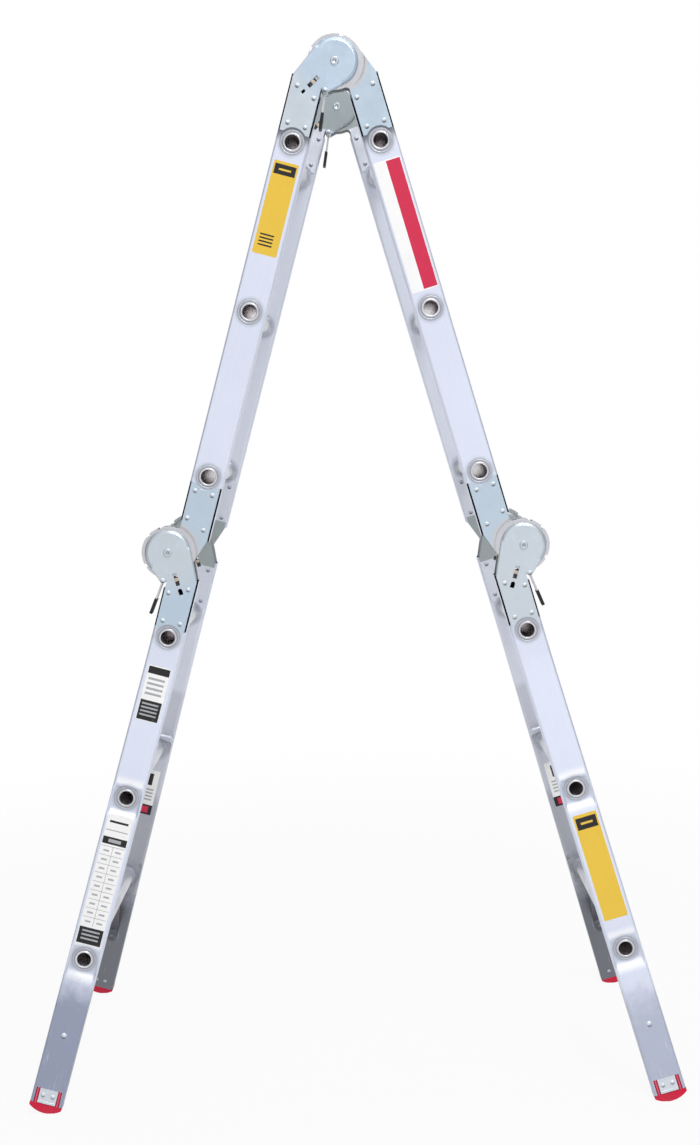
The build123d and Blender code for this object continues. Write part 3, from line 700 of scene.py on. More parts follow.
def pin_finish(name, to_world):
    """Bright steel of a hinge pin, with painted shade in the hollow of its head."""
    tint = ladder_colours().rivet
    made = Finish(name, Metallic=0.5)
    place = made.place(to_world)
    axes = made.axes(place)
    clouds = made.noise(place, 120.0, 4.0, 0.6)
    edge = ladder_sizes().pin_hollow
    # Painted shade in the hollow of the head
    hollow = made.ramp(made.from_axis(axes["X"], axes["Z"]), edge, edge - 1.2 * MM)
    made.shade(
        Base_Color=made.mix(hollow, made.varied(clouds, tint, 0.8, 1.15), shifted(tint, 0.6)),
        Roughness=made.rough(clouds, 0.32, 0.46),
    )
    made.bump(clouds, 0.1 * MM, 0.3)
    return made.material


def rivet_finish(name, tint):
    """Bright rivets, with a painted highlight on the upper side of their heads and painted shade on the lower
    side.
    """
    made = Finish(name, Metallic=0.25)
    clouds = made.noise(made.place(), 160.0, 4.0, 0.6)
    under = made.values("ShaderNodeAttribute", {"attribute_name": "under"})["Fac"]
    blend = made.varied(clouds, tint, 0.85, 1.15)
    # Painted highlight on the upper side of the head
    blend = made.mix(made.ramp(under, 0.0, -0.6), blend, shifted(tint, 1.35))
    made.shade(
        # Painted shade on the lower side of the head
        Base_Color=made.mix(made.ramp(under, 0.05, 0.75), blend, shifted(tint, 0.22)),
        Roughness=made.rough(clouds, 0.36, 0.5),
    )
    return made.material


def steel_finish(name, tint, gloss):
    """Plain steel with a fine grain and darker handling marks."""
    made = Finish(name, Metallic=0.8)
    place = made.place()
    grain = made.noise(place, 1200.0, 2.0, 0.5)
    made.shade(
        Base_Color=made.varied(made.noise(place, 90.0, 4.0, 0.6), tint, 0.78, 1.18),
        Roughness=made.rough(grain, gloss - 0.06, gloss + 0.08),
    )
    made.bump(grain, 0.06 * MM, 0.4)
    return made.material


def rib_light_and_shade(made, blend, to_world):
    """Painted highlight on the crowns of the ribs beside a foot's plate, and painted shade in the grooves
    along them.
    """
    colours = ladder_colours()
    axes = made.axes(made.place(to_world))
    aside = abs(abs(axes["X"]) - ladder_sizes().foot_rib)
    cheek = made.ramp(axes["Z"], toe_place() - MM, toe_place() + MM) * made.ramp(axes["Y"], 6 * MM, 8 * MM)
    groove = cheek * made.ramp(aside, 1.6 * MM, 2.2 * MM, 0.0, 0.8)
    crown_highlight = cheek * made.ramp(aside, 1.5 * MM, 0.3 * MM, 0.0, 0.6)
    # Painted shade in the grooves
    blend = made.mix(groove, blend, shifted(colours.foot, 0.2))
    return made.mix(crown_highlight, blend, colours.foot_sheen)


def plastic_finish(name, tint, gloss, rail=None):
    """Moulded plastic with a fine pebbled grain.

    A foot is given the place of its rail. Its ribs get a painted highlight and painted shade, and it is
    scuffed pale where it meets the floor.
    """
    made = Finish(name, Metallic=0.0, Specular_IOR_Level=0.25)
    place = made.place()
    clouds = made.noise(place, 45.0, 4.0, 0.6)
    pebble = made.noise(place, 700.0, 3.0, 0.6)
    blend = made.varied(clouds, tint, 0.82, 1.15)
    blend = made.mix(made.ramp(pebble, 0.62, 0.75, 0, 0.25), blend, shifted(tint, 0.55))
    if rail is not None:
        sizes = ladder_sizes()
        height = made.axes(place)["Z"] + clouds * (20 * MM)
        low = made.ramp(height, sizes.scuff_top, sizes.scuff_bottom)
        blend = made.mix(low * 0.12, blend, dusty(tint, 0.55, 0.17))
        blend = rib_light_and_shade(made, blend, rail)
    made.shade(Base_Color=blend, Roughness=made.rough(clouds, gloss - 0.05, gloss + 0.10))
    made.bump(pebble, 0.25 * MM, 0.35)
    return made.material


def label_finish(name, tint):
    """Vinyl with a slight sheen, rubbed and dusty in patches."""
    made = Finish(name, Metallic=0.0, Specular_IOR_Level=0.25)
    place = made.place()
    clouds = made.noise(place, 18.0, 4.0, 0.6)
    wear = made.ramp(made.noise(place, 120.0, 4.0, 0.7), 0.60, 0.74, 0, 0.35)
    blend = made.mix(wear, made.varied(clouds, tint, 0.92, 1.05), dusty(tint, 0.7, 0.16))
    made.shade(Base_Color=blend, Roughness=made.rough(clouds, 0.45, 0.6))
    made.bump(made.noise(place, 260.0, 2.0, 0.5), 0.2 * MM, 0.25)
    return made.material


# Mesh helpers

def dress(node, material):
    """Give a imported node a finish."""
    mesh = NODES[node].data
    mesh.materials.clear()
    mesh.materials.append(material)


def finished(name, bm, materials, body, replaced=(), smooth_angle=35):
    """Turn a bmesh into a piece that rides on a body."""
    mesh = mesh_of(bm, name)
    for material in materials:
        mesh.materials.append(material)
    mesh.shade_smooth()
    mesh.set_sharp_from_angle(angle=radians(smooth_angle))
    piece = bpy.data.objects.new(name, mesh)
    bpy.context.scene.collection.objects.link(piece)
    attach(piece, body)
    if replaced:
        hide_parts(*replaced)
    return piece


def even_faces(piece):
    """Let the large flat faces of a piece lead its smooth shading."""
    piece.modifiers.new("Even faces", "WEIGHTED_NORMAL").keep_sharp = True


def node_copy(node):
    """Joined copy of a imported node's mesh."""
    bm = bmesh.new()
    bm.from_mesh(NODES[node].data)
    bmesh.ops.remove_doubles(bm, verts=bm.verts, dist=0.002 * MM)
    for face in bm.faces:
        face.material_index = 0
    return bm


def softened(node, width, material, segments=2):
    """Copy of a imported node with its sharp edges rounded."""
    bm = node_copy(node)
    bmesh.ops.dissolve_limit(bm, angle_limit=radians(0.2), verts=bm.verts, edges=bm.edges)
    cad = NODES[node]
    piece = finished(f"{node}_rounded", bm, [material], cad["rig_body"], [node], 30)
    bevel = piece.modifiers.new("Rounded edges", "BEVEL")
    bevel.width = width
    bevel.segments = segments
    bevel.limit_method = "ANGLE"
    bevel.angle_limit = radians(40)
    even_faces(piece)


def spun(bm, profile, steps, closed=True):
    """Spin a profile of radius and height points about the Z axis."""
    points = [bm.verts.new((radius, 0, height)) for radius, height in profile]
    edges = [bm.edges.new(pair) for pair in zip(points, points[1:])]
    if closed:
        edges.append(bm.edges.new((points[-1], points[0])))
    bmesh.ops.spin(
        bm, geom=points + edges, cent=(0, 0, 0), axis=(0, 0, 1), angle=2 * pi, steps=steps, use_merge=True
    )
    bmesh.ops.remove_doubles(bm, verts=bm.verts, dist=0.01 * MM)
    bmesh.ops.recalc_face_normals(bm, faces=bm.faces)


def mesh_of(bm, name):
    """Mesh that a bmesh is turned into."""
    mesh = bpy.data.meshes.new(name)
    bm.to_mesh(mesh)
    bm.free()
    return mesh


def only(kind, geometry):
    """Items of one kind, out of those that an operator gives back."""
    return [item for item in geometry if isinstance(item, kind)]


def faces_of(points):
    """All faces that meet at some points."""
    return list({face for point in points for face in point.link_faces})


def cut(bm, point, normal):
    """Cut a bmesh along a plane, and keep both sides."""
    everything = bm.verts[:] + bm.edges[:] + bm.faces[:]
    bmesh.ops.bisect_plane(bm, geom=everything, plane_co=point, plane_no=normal)


def move(bm, points, place):
    """Move points of a bmesh, and keep their faces outwards where the place mirrors them."""
    bmesh.ops.transform(bm, matrix=place, verts=points)
    if place.determinant() < 0:
        bmesh.ops.reverse_faces(bm, faces=faces_of(points))


def stamp(bm, mesh, place, material_index=None):
    """Add a copy of a mesh to a bmesh, moved into place."""
    before = len(bm.verts)
    bm.from_mesh(mesh)
    bm.verts.ensure_lookup_table()
    added = bm.verts[before:]
    move(bm, added, place)
    if material_index is not None:
        for face in faces_of(added):
            face.material_index = material_index


def facing(point, normal):
    """Place for a stamp whose Z axis is to stand on a surface."""
    return Matrix.Translation(point) @ Vector(normal).to_track_quat("Z", "Y").to_matrix().to_4x4()


# Operators, one for each group of pieces

class LADDER_OT_rails(bpy.types.Operator):
    """Finish the rails, and soften the pressed rung seats of the flared ones"""

    bl_idname = "ladder.rails"
    bl_label = "Rails"

    corner_steps = 6
    face_steps = 24

    def execute(self, context):
        for leg in LEGS:
            for side in SIDES:
                self.straight_rail(leg, side)
                self.flared_rail(leg, side)
        return {"FINISHED"}

    def straight_rail(self, leg, side):
        """Finish of one upper rail."""
        node = f"{leg}_upper_{side}_rail"
        place = rail_place(leg, "upper", side)
        # Middle of the rail, and how far from it the plates are
        plated = (-SECTION_LENGTH / 2, SECTION_LENGTH / 2 - ladder_sizes().plate_end)
        dress(node, rail_finish(f"{node}_aluminium", place, -RUNG_PITCH / 2, RUNG_PITCH, plated))

    def flared_rail(self, leg, side):
        """One lower rail: a copy of its ends, and a stretch between them with soft rung seats."""
        sizes = ladder_sizes()
        node = f"{leg}_lower_{side}_rail"
        place = rail_place(leg, "lower", side)
        pitch = RUNG_PITCH / cos(sizes.flare)
        # Only its upper end has plates, so they are measured from a section's length below the pivot
        plated = (-2 * SECTION_LENGTH - bend_height(), SECTION_LENGTH - sizes.plate_end)
        finish = rail_finish(f"{node}_aluminium", place, sizes.flare_drop, pitch, plated, LEG_WEAR_AND_SHADE[leg])
        rungs = [along_flared(height) for height in rung_heights("lower")]
        head = -sizes.seam
        toe = toe_place() + sizes.seam
        bm = node_copy(node)
        bmesh.ops.transform(bm, matrix=place.inverted(), verts=bm.verts)
        for height in (head, toe):
            cut(bm, (0, 0, height), (0, 0, 1))
        middle = [face for face in bm.faces if toe < face.calc_center_median().z < head]
        bmesh.ops.delete(bm, geom=middle, context="FACES")
        bmesh.ops.recalc_face_normals(bm, faces=bm.faces)
        self.pressed_stretch(bm, rungs[1:], head, toe)
        move(bm, bm.verts, place)
        even_faces(finished(f"{node}_pressed", bm, [finish], section(leg, "lower"), [node]))

    def pressed_stretch(self, bm, rungs, head, toe):
        """Add the stretch of a rail between its ends, pressed in round its rungs."""
        sizes = ladder_sizes()
        before = len(bm.verts)
        ring = [bm.verts.new((x, y, head)) for x, y in self.outline()]
        edges = [bm.edges.new(pair) for pair in zip(ring, ring[1:] + ring[:1])]
        height = head
        while height > toe:
            beside = min(abs(height - rung) for rung in rungs)
            step = min(sizes.plain_step, max(sizes.ring_step, beside - sizes.dimple_reach), height - toe)
            grown = bmesh.ops.extrude_edge_only(bm, edges=edges)["geom"]
            bmesh.ops.translate(bm, verts=only(bmesh.types.BMVert, grown), vec=(0, 0, -step))
            edges = only(bmesh.types.BMEdge, grown)
            height = height - step if height - step > toe + 0.1 * MM else toe
        bm.verts.ensure_lookup_table()
        skin = bm.verts[before:]
        for rung in rungs:
            for point in skin:
                if abs(point.co.z - rung) < 2 * sizes.dimple_reach:
                    self.press(point, rung)
        faces = faces_of(skin)
        bmesh.ops.recalc_face_normals(bm, faces=faces)
        self.clear_holes(bm, faces, rungs)

    def clear_holes(self, bm, faces, rungs):
        """Take out the faces that the rings and collars of the rungs cover."""
        sizes = ladder_sizes()
        covered = (sizes.rung_radius + sizes.rung_collar) / 2
        hidden = []
        for face in faces:
            middle = face.calc_center_median()
            beside = min(hypot(middle.x, middle.z - rung) for rung in rungs)
            if beside < covered and abs(middle.y) > RAIL_FACE / 2:
                hidden.append(face)
        bmesh.ops.delete(bm, geom=hidden, context="FACES")

    def outline(self):
        """Points round a rail: close together across its wide faces and round its corners."""
        sizes = ladder_sizes()
        corner = sizes.rail_corner
        flat = sizes.rail_width / 2 - corner
        deep = RAIL_FACE - corner
        points = []
        for turn, (x, y) in enumerate(((flat, deep), (-flat, deep), (-flat, -deep), (flat, -deep))):
            for step in range(self.corner_steps + 1):
                bearing = (turn + step / self.corner_steps) * pi / 2
                points.append((x + corner * cos(bearing), y + corner * sin(bearing)))
            if turn % 2 == 0:
                face = RAIL_FACE if y > 0 else -RAIL_FACE
                for step in range(1, self.face_steps):
                    points.append((x - 2 * x * step / self.face_steps, face))
        return points

    def press(self, point, rung):
        """Press one point of the wall back to the seat of a rung, along the rung."""
        slant_cos = cos(ladder_sizes().flare)
        slant_sin = sin(ladder_sizes().flare)
        along = point.co.z - rung
        out = point.co.y * slant_cos - along * slant_sin
        up = point.co.y * slant_sin + along * slant_cos
        out = self.pressed(point.co.x, up, abs(out)) * (1 if out > 0 else -1)
        point.co.y = out * slant_cos + up * slant_sin
        point.co.z = rung - out * slant_sin + up * slant_cos

    def pressed(self, x, up, out):
        """Distance of the pressed wall from the middle of a rung's seat."""
        sizes = ladder_sizes()
        end = max(0.0, abs(up) - sizes.dimple_height / 2) * tan(sizes.dimple_end_slope)
        edge = max(0.0, abs(x) - sizes.dimple_width / 2) * tan(sizes.dimple_side_slope)
        rise = hypot(end, edge)
        soft = sizes.dimple_softness
        rise = rise * rise / (2 * soft) if rise < soft else rise - soft / 2
        wall = seat_depth() + rise
        blend = max(0.0, 1 - abs(wall - out) / (2 * soft))
        return min(wall, out) - blend * blend * soft / 2


class LADDER_OT_rungs(bpy.types.Operator):
    """Make the rungs: tubes with rounded lips and swaged rings"""

    bl_idname = "ladder.rungs"
    bl_label = "Rungs"

    bore_finish = 1
    groove_finish = 2
    ring_finish = 3

    def execute(self, context):
        colours = ladder_colours()
        finishes = [
            rung_finish(),
            tube_tint("rung_bore", colours.bore, 0.9, 0.2),
            tube_tint("ring_groove", colours.groove, 0.2, 0.55),
            # Painted shade on the swaged rings
            tube_tint("ring_face", colours.ring, 0.5, 0.42),
        ]
        for leg in LEGS:
            for level in ("upper", "lower"):
                bm = bmesh.new()
                for k, height in enumerate(rung_heights(level)):
                    pressed = level == "lower" and k > 0
                    tube = self.tube(flared_y(height), seat_depth() if pressed else RAIL_FACE)
                    lying = Matrix.Translation((PIVOT_OFFSET, 0, height)) @ Matrix.Rotation(-pi / 2, 4, "X")
                    stamp(bm, tube, leg_place(leg) @ lying)
                    bpy.data.meshes.remove(tube)
                node = f"{leg}_{level}_rungs"
                finished(f"{node}_swaged", bm, finishes, section(leg, level), [node])
        return {"FINISHED"}

    def tube(self, rail_y, seat):
        """Mesh of one rung about the Z axis, with its seats beside the centre lines of its rails."""
        sizes = ladder_sizes()
        radius = sizes.rung_radius
        bore = sizes.rung_bore
        collar = sizes.rung_collar
        taper = sizes.rung_collar_length
        ring = sizes.rung_ring
        groove = (radius + ring) / 2 - 0.5 * MM
        inner = rail_y - seat
        outer = rail_y + seat
        mouth = outer + sizes.rung_lip
        collar_profile = [
            (radius, inner - taper * 1.1),
            (radius + 0.5 * MM, inner - taper * 0.85),
            (collar - 1.2 * MM, inner - taper * 0.25),
            (collar - 0.3 * MM, inner - 0.9 * MM),
            (collar, inner),
            (radius, inner),
        ]
        ring_profile = [
            (radius, outer),
            (ring, outer),
            (ring - 0.1 * MM, outer + 0.4 * MM),
            (ring - 0.6 * MM, outer + 0.85 * MM),
            (ring - 1.4 * MM, outer + 0.95 * MM),
            (ring - 2.1 * MM, outer + 0.7 * MM),
            (groove + 0.6 * MM, outer + 0.25 * MM),
            (groove - 0.6 * MM, outer + 0.3 * MM),
        ]
        lip_profile = [
            (radius + 0.7 * MM, outer + 0.9 * MM),
            (radius + 0.3 * MM, mouth - 0.5 * MM),
            (radius - 0.4 * MM, mouth - 0.1 * MM),
            (radius - 1.1 * MM, mouth),
            (radius - 1.9 * MM, mouth - 0.2 * MM),
            (bore + 0.25 * MM, mouth - 0.8 * MM),
            (bore, mouth - 1.6 * MM),
        ]
        half = collar_profile + ring_profile + lip_profile
        bm = bmesh.new()
        spun(bm, half + [(r, -y) for r, y in reversed(half)], steps=40)
        for face in bm.faces:
            reach = [vert.co.xy.length for vert in face.verts]
            if max(reach) < bore + 0.15 * MM:
                face.material_index = self.bore_finish
            elif min(reach) > radius + 0.5 * MM and abs(face.calc_center_median().z) > outer:
                in_groove = max(reach) < groove + 1.0 * MM
                face.material_index = self.groove_finish if in_groove else self.ring_finish
        return mesh_of(bm, "rung")


class LADDER_OT_hinges(bpy.types.Operator):
    """Finish the hinge plates, pins, bolts, springs and levers"""

    bl_idname = "ladder.hinges"
    bl_label = "Hinges and locks"

    def execute(self, context):
        colours = ladder_colours()
        lever = zinc_finish("lever_zinc", colours.lever, 0.2, 0.32)
        spring = steel_finish("spring_steel", colours.spring, 0.36)
        for hinge in HINGES:
            places = {half: place for half, (body, place) in hinge_halves(hinge).items()}
            disc = colours.cover if hinge == "top" else colours.cover_grey
            tab = colours.cover if hinge == "left" else colours.cover_grey
            cover = hinge_finish(f"{hinge}_cover_zinc", places["cover"], tab, disc, 0.15, True)
            tab = colours.tongue
            disc = colours.tongue_disc
            tongue = hinge_finish(f"{hinge}_tongue_zinc", places["tongue"], tab, disc, 0.25, False)
            dress(f"{hinge}_hinge_pins", pin_finish(f"{hinge}_pin_steel", places["cover"]))
            dress(f"{hinge}_lock_springs", spring)
            bolt = bolt_finish(f"{hinge}_bolt_steel", places["cover"])
            for side in SIDES:
                softened(f"{hinge}_{side}_hinge_cover", 0.5 * MM, cover)
                softened(f"{hinge}_{side}_hinge_tongue", 0.35 * MM, tongue)
                softened(f"{hinge}_{side}_release_lever", 0.3 * MM, lever)
                dress(f"{hinge}_{side}_lock_bolt", bolt)
        return {"FINISHED"}


class LADDER_OT_grips(bpy.types.Operator):
    """Finish the black plastic sleeves on the levers"""

    bl_idname = "ladder.grips"
    bl_label = "Lever grips"

    def execute(self, context):
        finish = plastic_finish("grip_plastic", ladder_colours().grip, 0.42)
        for hinge in HINGES:
            for side in SIDES:
                softened(f"{hinge}_{side}_lever_grip", 0.8 * MM, finish, segments=3)
        return {"FINISHED"}


class LADDER_OT_rivets(bpy.types.Operator):
    """Rivet the hinge plates, the braces, the foot plates and the levers"""

    bl_idname = "ladder.rivets"
    bl_label = "Rivets"

    # Places from a pivot, in millimetres across and along the rail
    plate_rivets = ((48.5, -52), (17.5, -65), (49, -112), (19.5, -113))
    lever_axle = (3, -47.5)
    inner_finish = 1
    brace_finish = 2
    dome_steps = 4

    def execute(self, context):
        colours = ladder_colours()
        finishes = [
            rivet_finish("rivet_steel", colours.rivet),
            # Rivet finishes with painted shade: on the inner faces, and on the braces
            rivet_finish("inner_rivet_steel", colours.rivet_inner),
            rivet_finish("brace_rivet_steel", shifted(colours.brace, 1.5)),
        ]
        head = self.head()
        for hinge in HINGES:
            self.hinge_rivets(finishes, head, hinge)
        for leg in LEGS:
            self.leg_rivets(finishes, head, leg)
        bpy.data.meshes.remove(head)
        return {"FINISHED"}

    def hinge_rivets(self, finishes, head, hinge):
        """Rivets through both plates of each half of a hinge, and the ends of the lever axles."""
        halves = hinge_halves(hinge)
        faces = {"cover": COVER_FACE, "tongue": TONGUE_FACE}
        for half, (body, place) in halves.items():
            bm = bmesh.new()
            for x, z in self.plate_rivets:
                for outwards in SIDES.values():
                    middle = (x * MM, outwards * RAIL_Y, z * MM)
                    self.pair(bm, head, place, middle, faces[half], faces[half], outwards)
            finished(f"{hinge}_{half}_rivets", bm, finishes, body)
        x, z = self.lever_axle
        for side, outwards in SIDES.items():
            bm = bmesh.new()
            middle = (x * MM, outwards * RAIL_Y, z * MM)
            self.pair(bm, head, halves["cover"][1], middle, COVER_FACE, COVER_FACE, outwards)
            finished(f"{hinge}_{side}_axle_heads", bm, finishes[:1] * 2, f"{hinge}_{side}_lever")

    def leg_rivets(self, finishes, head, leg):
        """Rivets of the foot plates and of the knee braces of one leg."""
        sizes = ladder_sizes()
        foot = toe_place() + sizes.foot_rivet_rise
        brace = along_flared(rung_heights("lower")[-1] - sizes.brace_drop)
        behind = RAIL_FACE + sizes.brace_thickness
        bm = bmesh.new()
        for side in SIDES:
            place = rail_place(leg, "lower", side)
            for across in (-sizes.foot_rivet_spacing / 2, sizes.foot_rivet_spacing / 2):
                self.pair(bm, head, place, (across, 0, foot), sizes.foot_plate_face, RAIL_FACE)
            self.pair(
                bm, head, place, (0, 0, brace), RAIL_FACE, behind,
                size=sizes.brace_rivet, inner_finish=self.brace_finish,
            )
        finished(f"{leg}_foot_and_brace_rivets", bm, finishes, section(leg, "lower"))

    def pair(self, bm, head, place, middle, outer, inner, outwards=1, size=1.0, inner_finish=inner_finish):
        """Heads on both ends of a rivet along Y, at two distances from its middle."""
        for index, normal, face in ((0, outwards, outer), (inner_finish, -outwards, inner)):
            point = Vector(middle) + Vector((0, normal * face, 0))
            seat = place @ facing(point, (0, normal, 0)) @ Matrix.Scale(size, 4)
            upside_down = seat.col[1].z < 0
            stamp(bm, head, seat @ Matrix.Rotation(pi if upside_down else 0, 4, "Z"), index)

    def head(self):
        """Domed head of a rivet with a thin flange, and with a mark of its lower side."""
        radius = ladder_sizes().rivet_radius
        height = ladder_sizes().rivet_height
        flange = height * 0.2
        dome_radius = radius * 0.92
        dome = []
        for step in range(self.dome_steps + 1):
            bearing = step * pi / 2 / self.dome_steps
            dome.append((dome_radius * sin(bearing), flange + (height - flange) * cos(bearing)))
        bm = bmesh.new()
        spun(bm, dome + [(radius, 0)], steps=16, closed=False)
        # How low each point of the head is, for its painted highlight and shade
        under = bm.verts.layers.float.new("under")
        for vert in bm.verts:
            vert[under] = -vert.co.y / radius
        return mesh_of(bm, "rivet_head")


class LADDER_OT_feet(bpy.types.Operator):
    """Finish the red feet, their plates and the knee braces"""

    bl_idname = "ladder.feet"
    bl_label = "Feet and braces"

    def execute(self, context):
        colours = ladder_colours()
        plate = zinc_finish("foot_plate_zinc", colours.foot_plate, 0.1, 0.3)
        # Painted shade on the braces
        brace = zinc_finish("brace_zinc", colours.brace, 0.1, 0.42)
        for leg in LEGS:
            for side in SIDES:
                node = f"{leg}_{side}_foot"
                place = rail_place(leg, "lower", side)
                red = plastic_finish(f"{node}_plastic", colours.foot, 0.40, place)
                softened(node, 1.5 * MM, red, segments=3)
            softened(f"{leg}_foot_plates", 0.3 * MM, plate)
            softened(f"{leg}_knee_braces", 0.4 * MM, brace)
        return {"FINISHED"}


class LADDER_OT_labels(bpy.types.Operator):
    """Stick the blank labels on the rails"""

    bl_idname = "ladder.labels"
    bl_label = "Blank labels"

    def execute(self, context):
        colours = ladder_colours()
        self.vinyl = {
            name: label_finish(f"label_{name}", getattr(colours, f"label_{name}"))
            for name in ("yellow", "white", "red", "dark", "grey")
        }
        heading = [(0.07, 0.03, 0.93, 0.14, "dark"), (0.25, 0.075, 0.75, 0.095, "yellow")]
        lines = heading + self.bars(0.15, 0.72, 0.78, 0.93, 4, "dark")
        self.label("left_upper_yellow_label", "left", "upper", -325, -173, 41, "yellow", lines)
        self.label("right_lower_yellow_label", "right", "lower", -1487, -1304, 41, "yellow", heading)
        red_half = [(0.02, 0.01, 0.54, 0.99, "red")]
        self.label("right_upper_white_label", "right", "upper", -390, -172, 45, "white", red_half)
        bands = [(0.03, 0.02, 0.97, 0.15, "dark"), (0.03, 0.63, 0.97, 0.99, "dark")]
        bands += self.bars(0.12, 0.85, 0.22, 0.58, 4, "grey") + self.bars(0.12, 0.85, 0.68, 0.95, 4, "grey")
        self.label("left_lower_white_label", "left", "lower", -1127, -1033, 39, "white", bands)
        cells = self.panel_cells()
        self.label("left_lower_blank_panel", "left", "lower", -1515, -1292, 43, "white", cells)
        marks = [(0.3, 0.08, 0.7, 0.34, "dark"), (0.0, 0.78, 1.0, 1.0, "dark")]
        marks += [(0.08, 0.82, 0.8, 0.96, "red")] + self.bars(0.15, 0.85, 0.42, 0.72, 4, "grey")
        for leg in LEGS:
            self.label(f"{leg}_inner_label", leg, "lower", -1400, -1306, 36, "white", marks, "back")
        return {"FINISHED"}

    def bars(self, left, right, top, bottom, count, tint):
        """Plain bars, one above the other, in place of lines of print."""
        pitch = (bottom - top) / count
        return [(left, top + k * pitch, right, top + (k + 0.45) * pitch, tint) for k in range(count)]

    def panel_cells(self):
        """Dark bands at the top and the bottom of a panel, and ruled cells with plain marks between them."""
        cells = [(0.12, 0.045, 0.86, 0.062, "dark"), (0.05, 0.115, 0.92, 0.123, "grey")]
        cells += [(0.02, 0.17, 0.98, 0.225, "dark"), (0.25, 0.185, 0.75, 0.21, "grey")]
        cells += [(0.02, 0.87, 0.98, 0.995, "dark")] + self.bars(0.15, 0.85, 0.89, 0.98, 3, "grey")
        rows = 9
        top = 0.24
        bottom = 0.86
        pitch = (bottom - top) / rows
        cells.append((0.49, top, 0.51, bottom, "grey"))
        for row in range(rows):
            start = top + row * pitch
            cells.append((0.04, start, 0.96, start + 0.06 * pitch, "grey"))
            for left, right in ((0.15, 0.38), (0.62, 0.85)):
                cells.append((left, start + 0.42 * pitch, right, start + 0.62 * pitch, "grey"))
        return cells

    def label(self, name, leg, level, low, high, width, ground, patches, side="front"):
        """One label between two heights of the upright leg, on an outer front or an inner back face.

        The heights and the width are in millimetres. Its patches are given by their left, top, right and
        bottom as shares of it, and by their vinyl.
        """
        sizes = ladder_sizes()
        bottom = low * MM
        top = high * MM
        if level == "lower":
            bottom = along_flared(bottom)
            top = along_flared(top)
        extent = Vector((width * MM, top - bottom, 1))
        bm = bmesh.new()
        bmesh.ops.create_grid(bm, x_segments=1, y_segments=1, size=0.5)
        bmesh.ops.scale(bm, vec=extent, verts=bm.verts)
        bmesh.ops.bevel(
            bm, geom=bm.verts[:], offset=sizes.label_corner, segments=4, profile=0.5, affect="VERTICES"
        )
        self.paint(bm, extent, ground, patches)
        skin = bmesh.ops.extrude_face_region(bm, geom=bm.faces[:])["geom"]
        sunk = only(bmesh.types.BMVert, skin)
        bmesh.ops.translate(bm, verts=sunk, vec=(0, 0, -sizes.label_thickness))
        bmesh.ops.recalc_face_normals(bm, faces=bm.faces)
        turned = Matrix.Rotation(pi if side == "back" else 0, 4, "Z")
        surface = Matrix.Translation((0, RAIL_FACE + sizes.label_thickness, (top + bottom) / 2))
        upright = surface @ Matrix.Rotation(-pi / 2, 4, "X")
        move(bm, bm.verts, rail_place(leg, level, side) @ turned @ upright)
        finished(name, bm, list(self.vinyl.values()), section(leg, level))

    def paint(self, bm, extent, ground, patches):
        """Cut a flat label along the edges of its patches, and give each face its vinyl."""
        for axis in (0, 1):
            normal = Vector((1 - axis, axis, 0))
            for share in sorted({patch[axis + k] for patch in patches for k in (0, 2)}):
                cut(bm, normal * extent[axis] * (share - 0.5), normal)
        names = list(self.vinyl)
        for face in bm.faces:
            middle = face.calc_center_median()
            x = middle.x / extent.x + 0.5
            y = middle.y / extent.y + 0.5
            tint = ground
            for left, upper, right, lower, patch in patches:
                if left < x < right and upper < y < lower:
                    tint = patch
            face.material_index = names.index(tint)


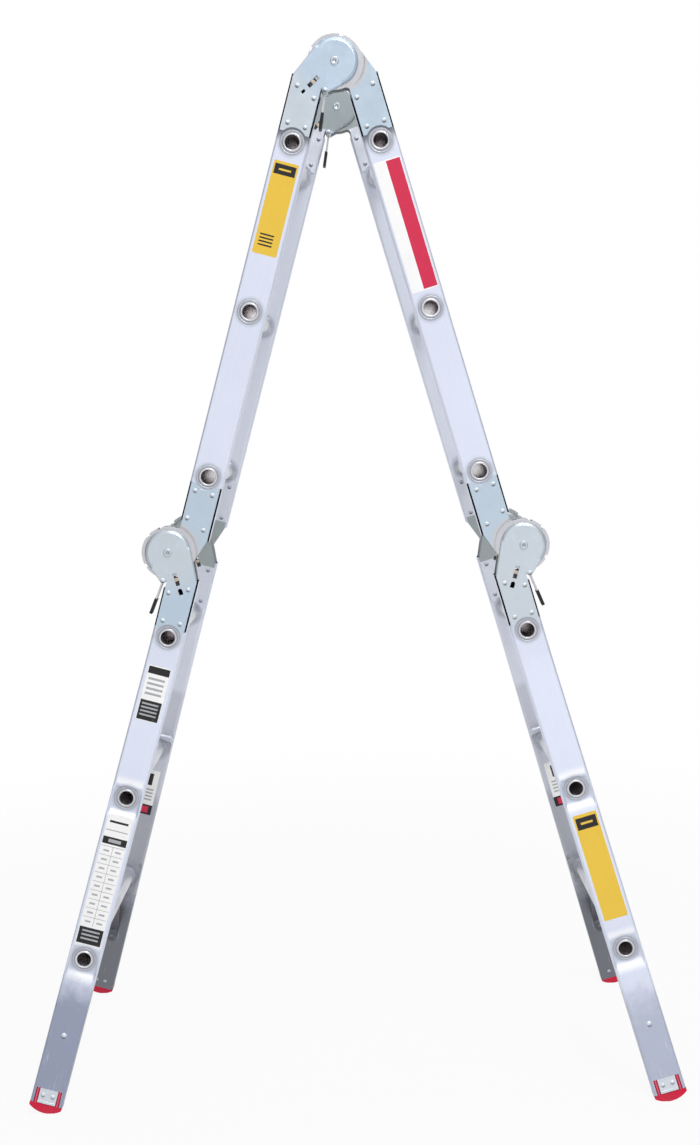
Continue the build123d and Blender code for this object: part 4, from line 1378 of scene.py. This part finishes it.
class LADDER_OT_stage(bpy.types.Operator):
    """Set up the floor, the light and the camera"""

    bl_idname = "ladder.stage"
    bl_label = "Stage"

    def execute(self, context):
        stage = context.scene.ladder_stage
        self.world(context.scene, stage)
        self.floor(context.scene, stage)
        self.lamp(context.scene, "key", (1.0, -2.1, 4.3), 1.5, stage.key_power)
        self.lamp(context.scene, "top", (0.0, 0.4, 4.5), 2.6, stage.top_power)
        fill = self.lamp(context.scene, "fill", (0.3, -2.9, 0.5), 1.6, stage.fill_power)
        fill.visible_glossy = False
        self.camera(context.scene, stage)
        context.scene.view_settings.view_transform = "Standard"
        return {"FINISHED"}

    def world(self, scene, stage):
        """White background, and softer light on the object that is weaker from both sides."""
        world = bpy.data.worlds.new("studio")
        world.use_nodes = True
        made = Nodes(world.node_tree)
        axes = made.axes(made.add("ShaderNodeTexCoord").outputs["Generated"])
        sides = made.ramp(abs(axes["X"]), 0.45, 0.95, 1.0, stage.side_light)
        path = made.values("ShaderNodeLightPath")
        level = (path["Is Glossy Ray"] * (1 - stage.ambient) + stage.ambient) * sides
        seen = path["Is Camera Ray"] | path["Is Transmission Ray"]
        light = made.add("ShaderNodeBackground", Color=(1, 1, 1), Strength=seen | level)
        made.add("ShaderNodeOutputWorld", Surface=light.outputs["Background"])
        scene.world = world

    def floor(self, scene, stage):
        """Pale floor that keeps a soft shadow and fades to plain white away from the ladder."""
        made = Finish("floor_white", Base_Color=(0.75, 0.75, 0.75), Roughness=0.9)
        white = made.add("ShaderNodeEmission", Color=(1, 1, 1))
        share = made.ramp(made.reach(made.place()), 0.8, 2.6, stage.floor_white, 1.0)
        path = made.values("ShaderNodeLightPath")
        seen = path["Is Camera Ray"] | path["Is Glossy Ray"] | path["Is Transmission Ray"]
        both = made.add("ShaderNodeMixShader", Fac=seen * share)
        made.plug(both.inputs[1], made.shader.outputs["BSDF"])
        made.plug(both.inputs[2], white.outputs["Emission"])
        made.plug(made.output.inputs["Surface"], both.outputs["Shader"])
        bm = bmesh.new()
        bmesh.ops.create_grid(bm, x_segments=1, y_segments=1, size=14)
        mesh = mesh_of(bm, "floor")
        mesh.materials.append(made.material)
        floor = bpy.data.objects.new("floor", mesh)
        floor.location.z = -0.5 * MM
        scene.collection.objects.link(floor)

    def lamp(self, scene, name, place, size, power):
        """Soft square lamp that looks at the middle of the ladder."""
        data = bpy.data.lights.new(name, "AREA")
        data.size = size
        data.energy = power
        lamp = bpy.data.objects.new(name, data)
        lamp.location = place
        aim = Vector((0, 0, scene.ladder_stage.aim_height)) - Vector(place)
        lamp.rotation_euler = aim.to_track_quat("-Z", "Y").to_euler()
        scene.collection.objects.link(lamp)
        return lamp

    def camera(self, scene, stage):
        """Camera at the photograph's place."""
        data = bpy.data.cameras.new("camera")
        data.sensor_fit = "VERTICAL"
        data.sensor_height = 36
        data.lens = stage.lens
        camera = bpy.data.objects.new("camera", data)
        level = Matrix.Rotation(pi / 2, 4, "X")
        turn = Matrix.Rotation(-stage.yaw, 4, "Z") @ level @ Matrix.Rotation(-stage.pitch, 4, "X")
        turn = turn @ Matrix.Rotation(stage.roll, 4, "Z")
        camera.matrix_world = Matrix.Translation(stage.camera_place) @ turn
        scene.collection.objects.link(camera)
        scene.camera = camera


class LADDER_PT_panel(bpy.types.Panel):
    """Panel that lists the ladder's pieces and settings."""

    bl_label = "Combination ladder"
    bl_idname = "LADDER_PT_panel"
    bl_space_type = "VIEW_3D"
    bl_region_type = "UI"
    bl_category = "Ladder"

    def draw(self, context):
        for operator in OPERATORS:
            self.layout.operator(operator.bl_idname)
        for name, group in GROUPS.items():
            box = self.layout.box()
            for setting in group.__annotations__:
                box.prop(getattr(context.scene, name), setting)


GROUPS = {"ladder_sizes": LadderSizes, "ladder_colours": LadderColours, "ladder_stage": LadderStage}
OPERATORS = (
    LADDER_OT_rails,
    LADDER_OT_rungs,
    LADDER_OT_hinges,
    LADDER_OT_grips,
    LADDER_OT_rivets,
    LADDER_OT_feet,
    LADDER_OT_labels,
    LADDER_OT_stage,
)


def register():
    """Register the classes and their settings."""
    for name, group in GROUPS.items():
        bpy.utils.register_class(group)
        setattr(bpy.types.Scene, name, PointerProperty(type=group))
    for operator in OPERATORS:
        bpy.utils.register_class(operator)
    bpy.utils.register_class(LADDER_PT_panel)


def unregister():
    """Remove the classes and their settings."""
    bpy.utils.unregister_class(LADDER_PT_panel)
    for operator in reversed(OPERATORS):
        bpy.utils.unregister_class(operator)
    for name, group in GROUPS.items():
        delattr(bpy.types.Scene, name)
        bpy.utils.unregister_class(group)


def main():
    """Build every piece and the stage."""
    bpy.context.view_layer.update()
    register()
    for operator in OPERATORS:
        group, name = operator.bl_idname.split(".")
        getattr(getattr(bpy.ops, group), name)()


if __name__ == "__main__":
    main()
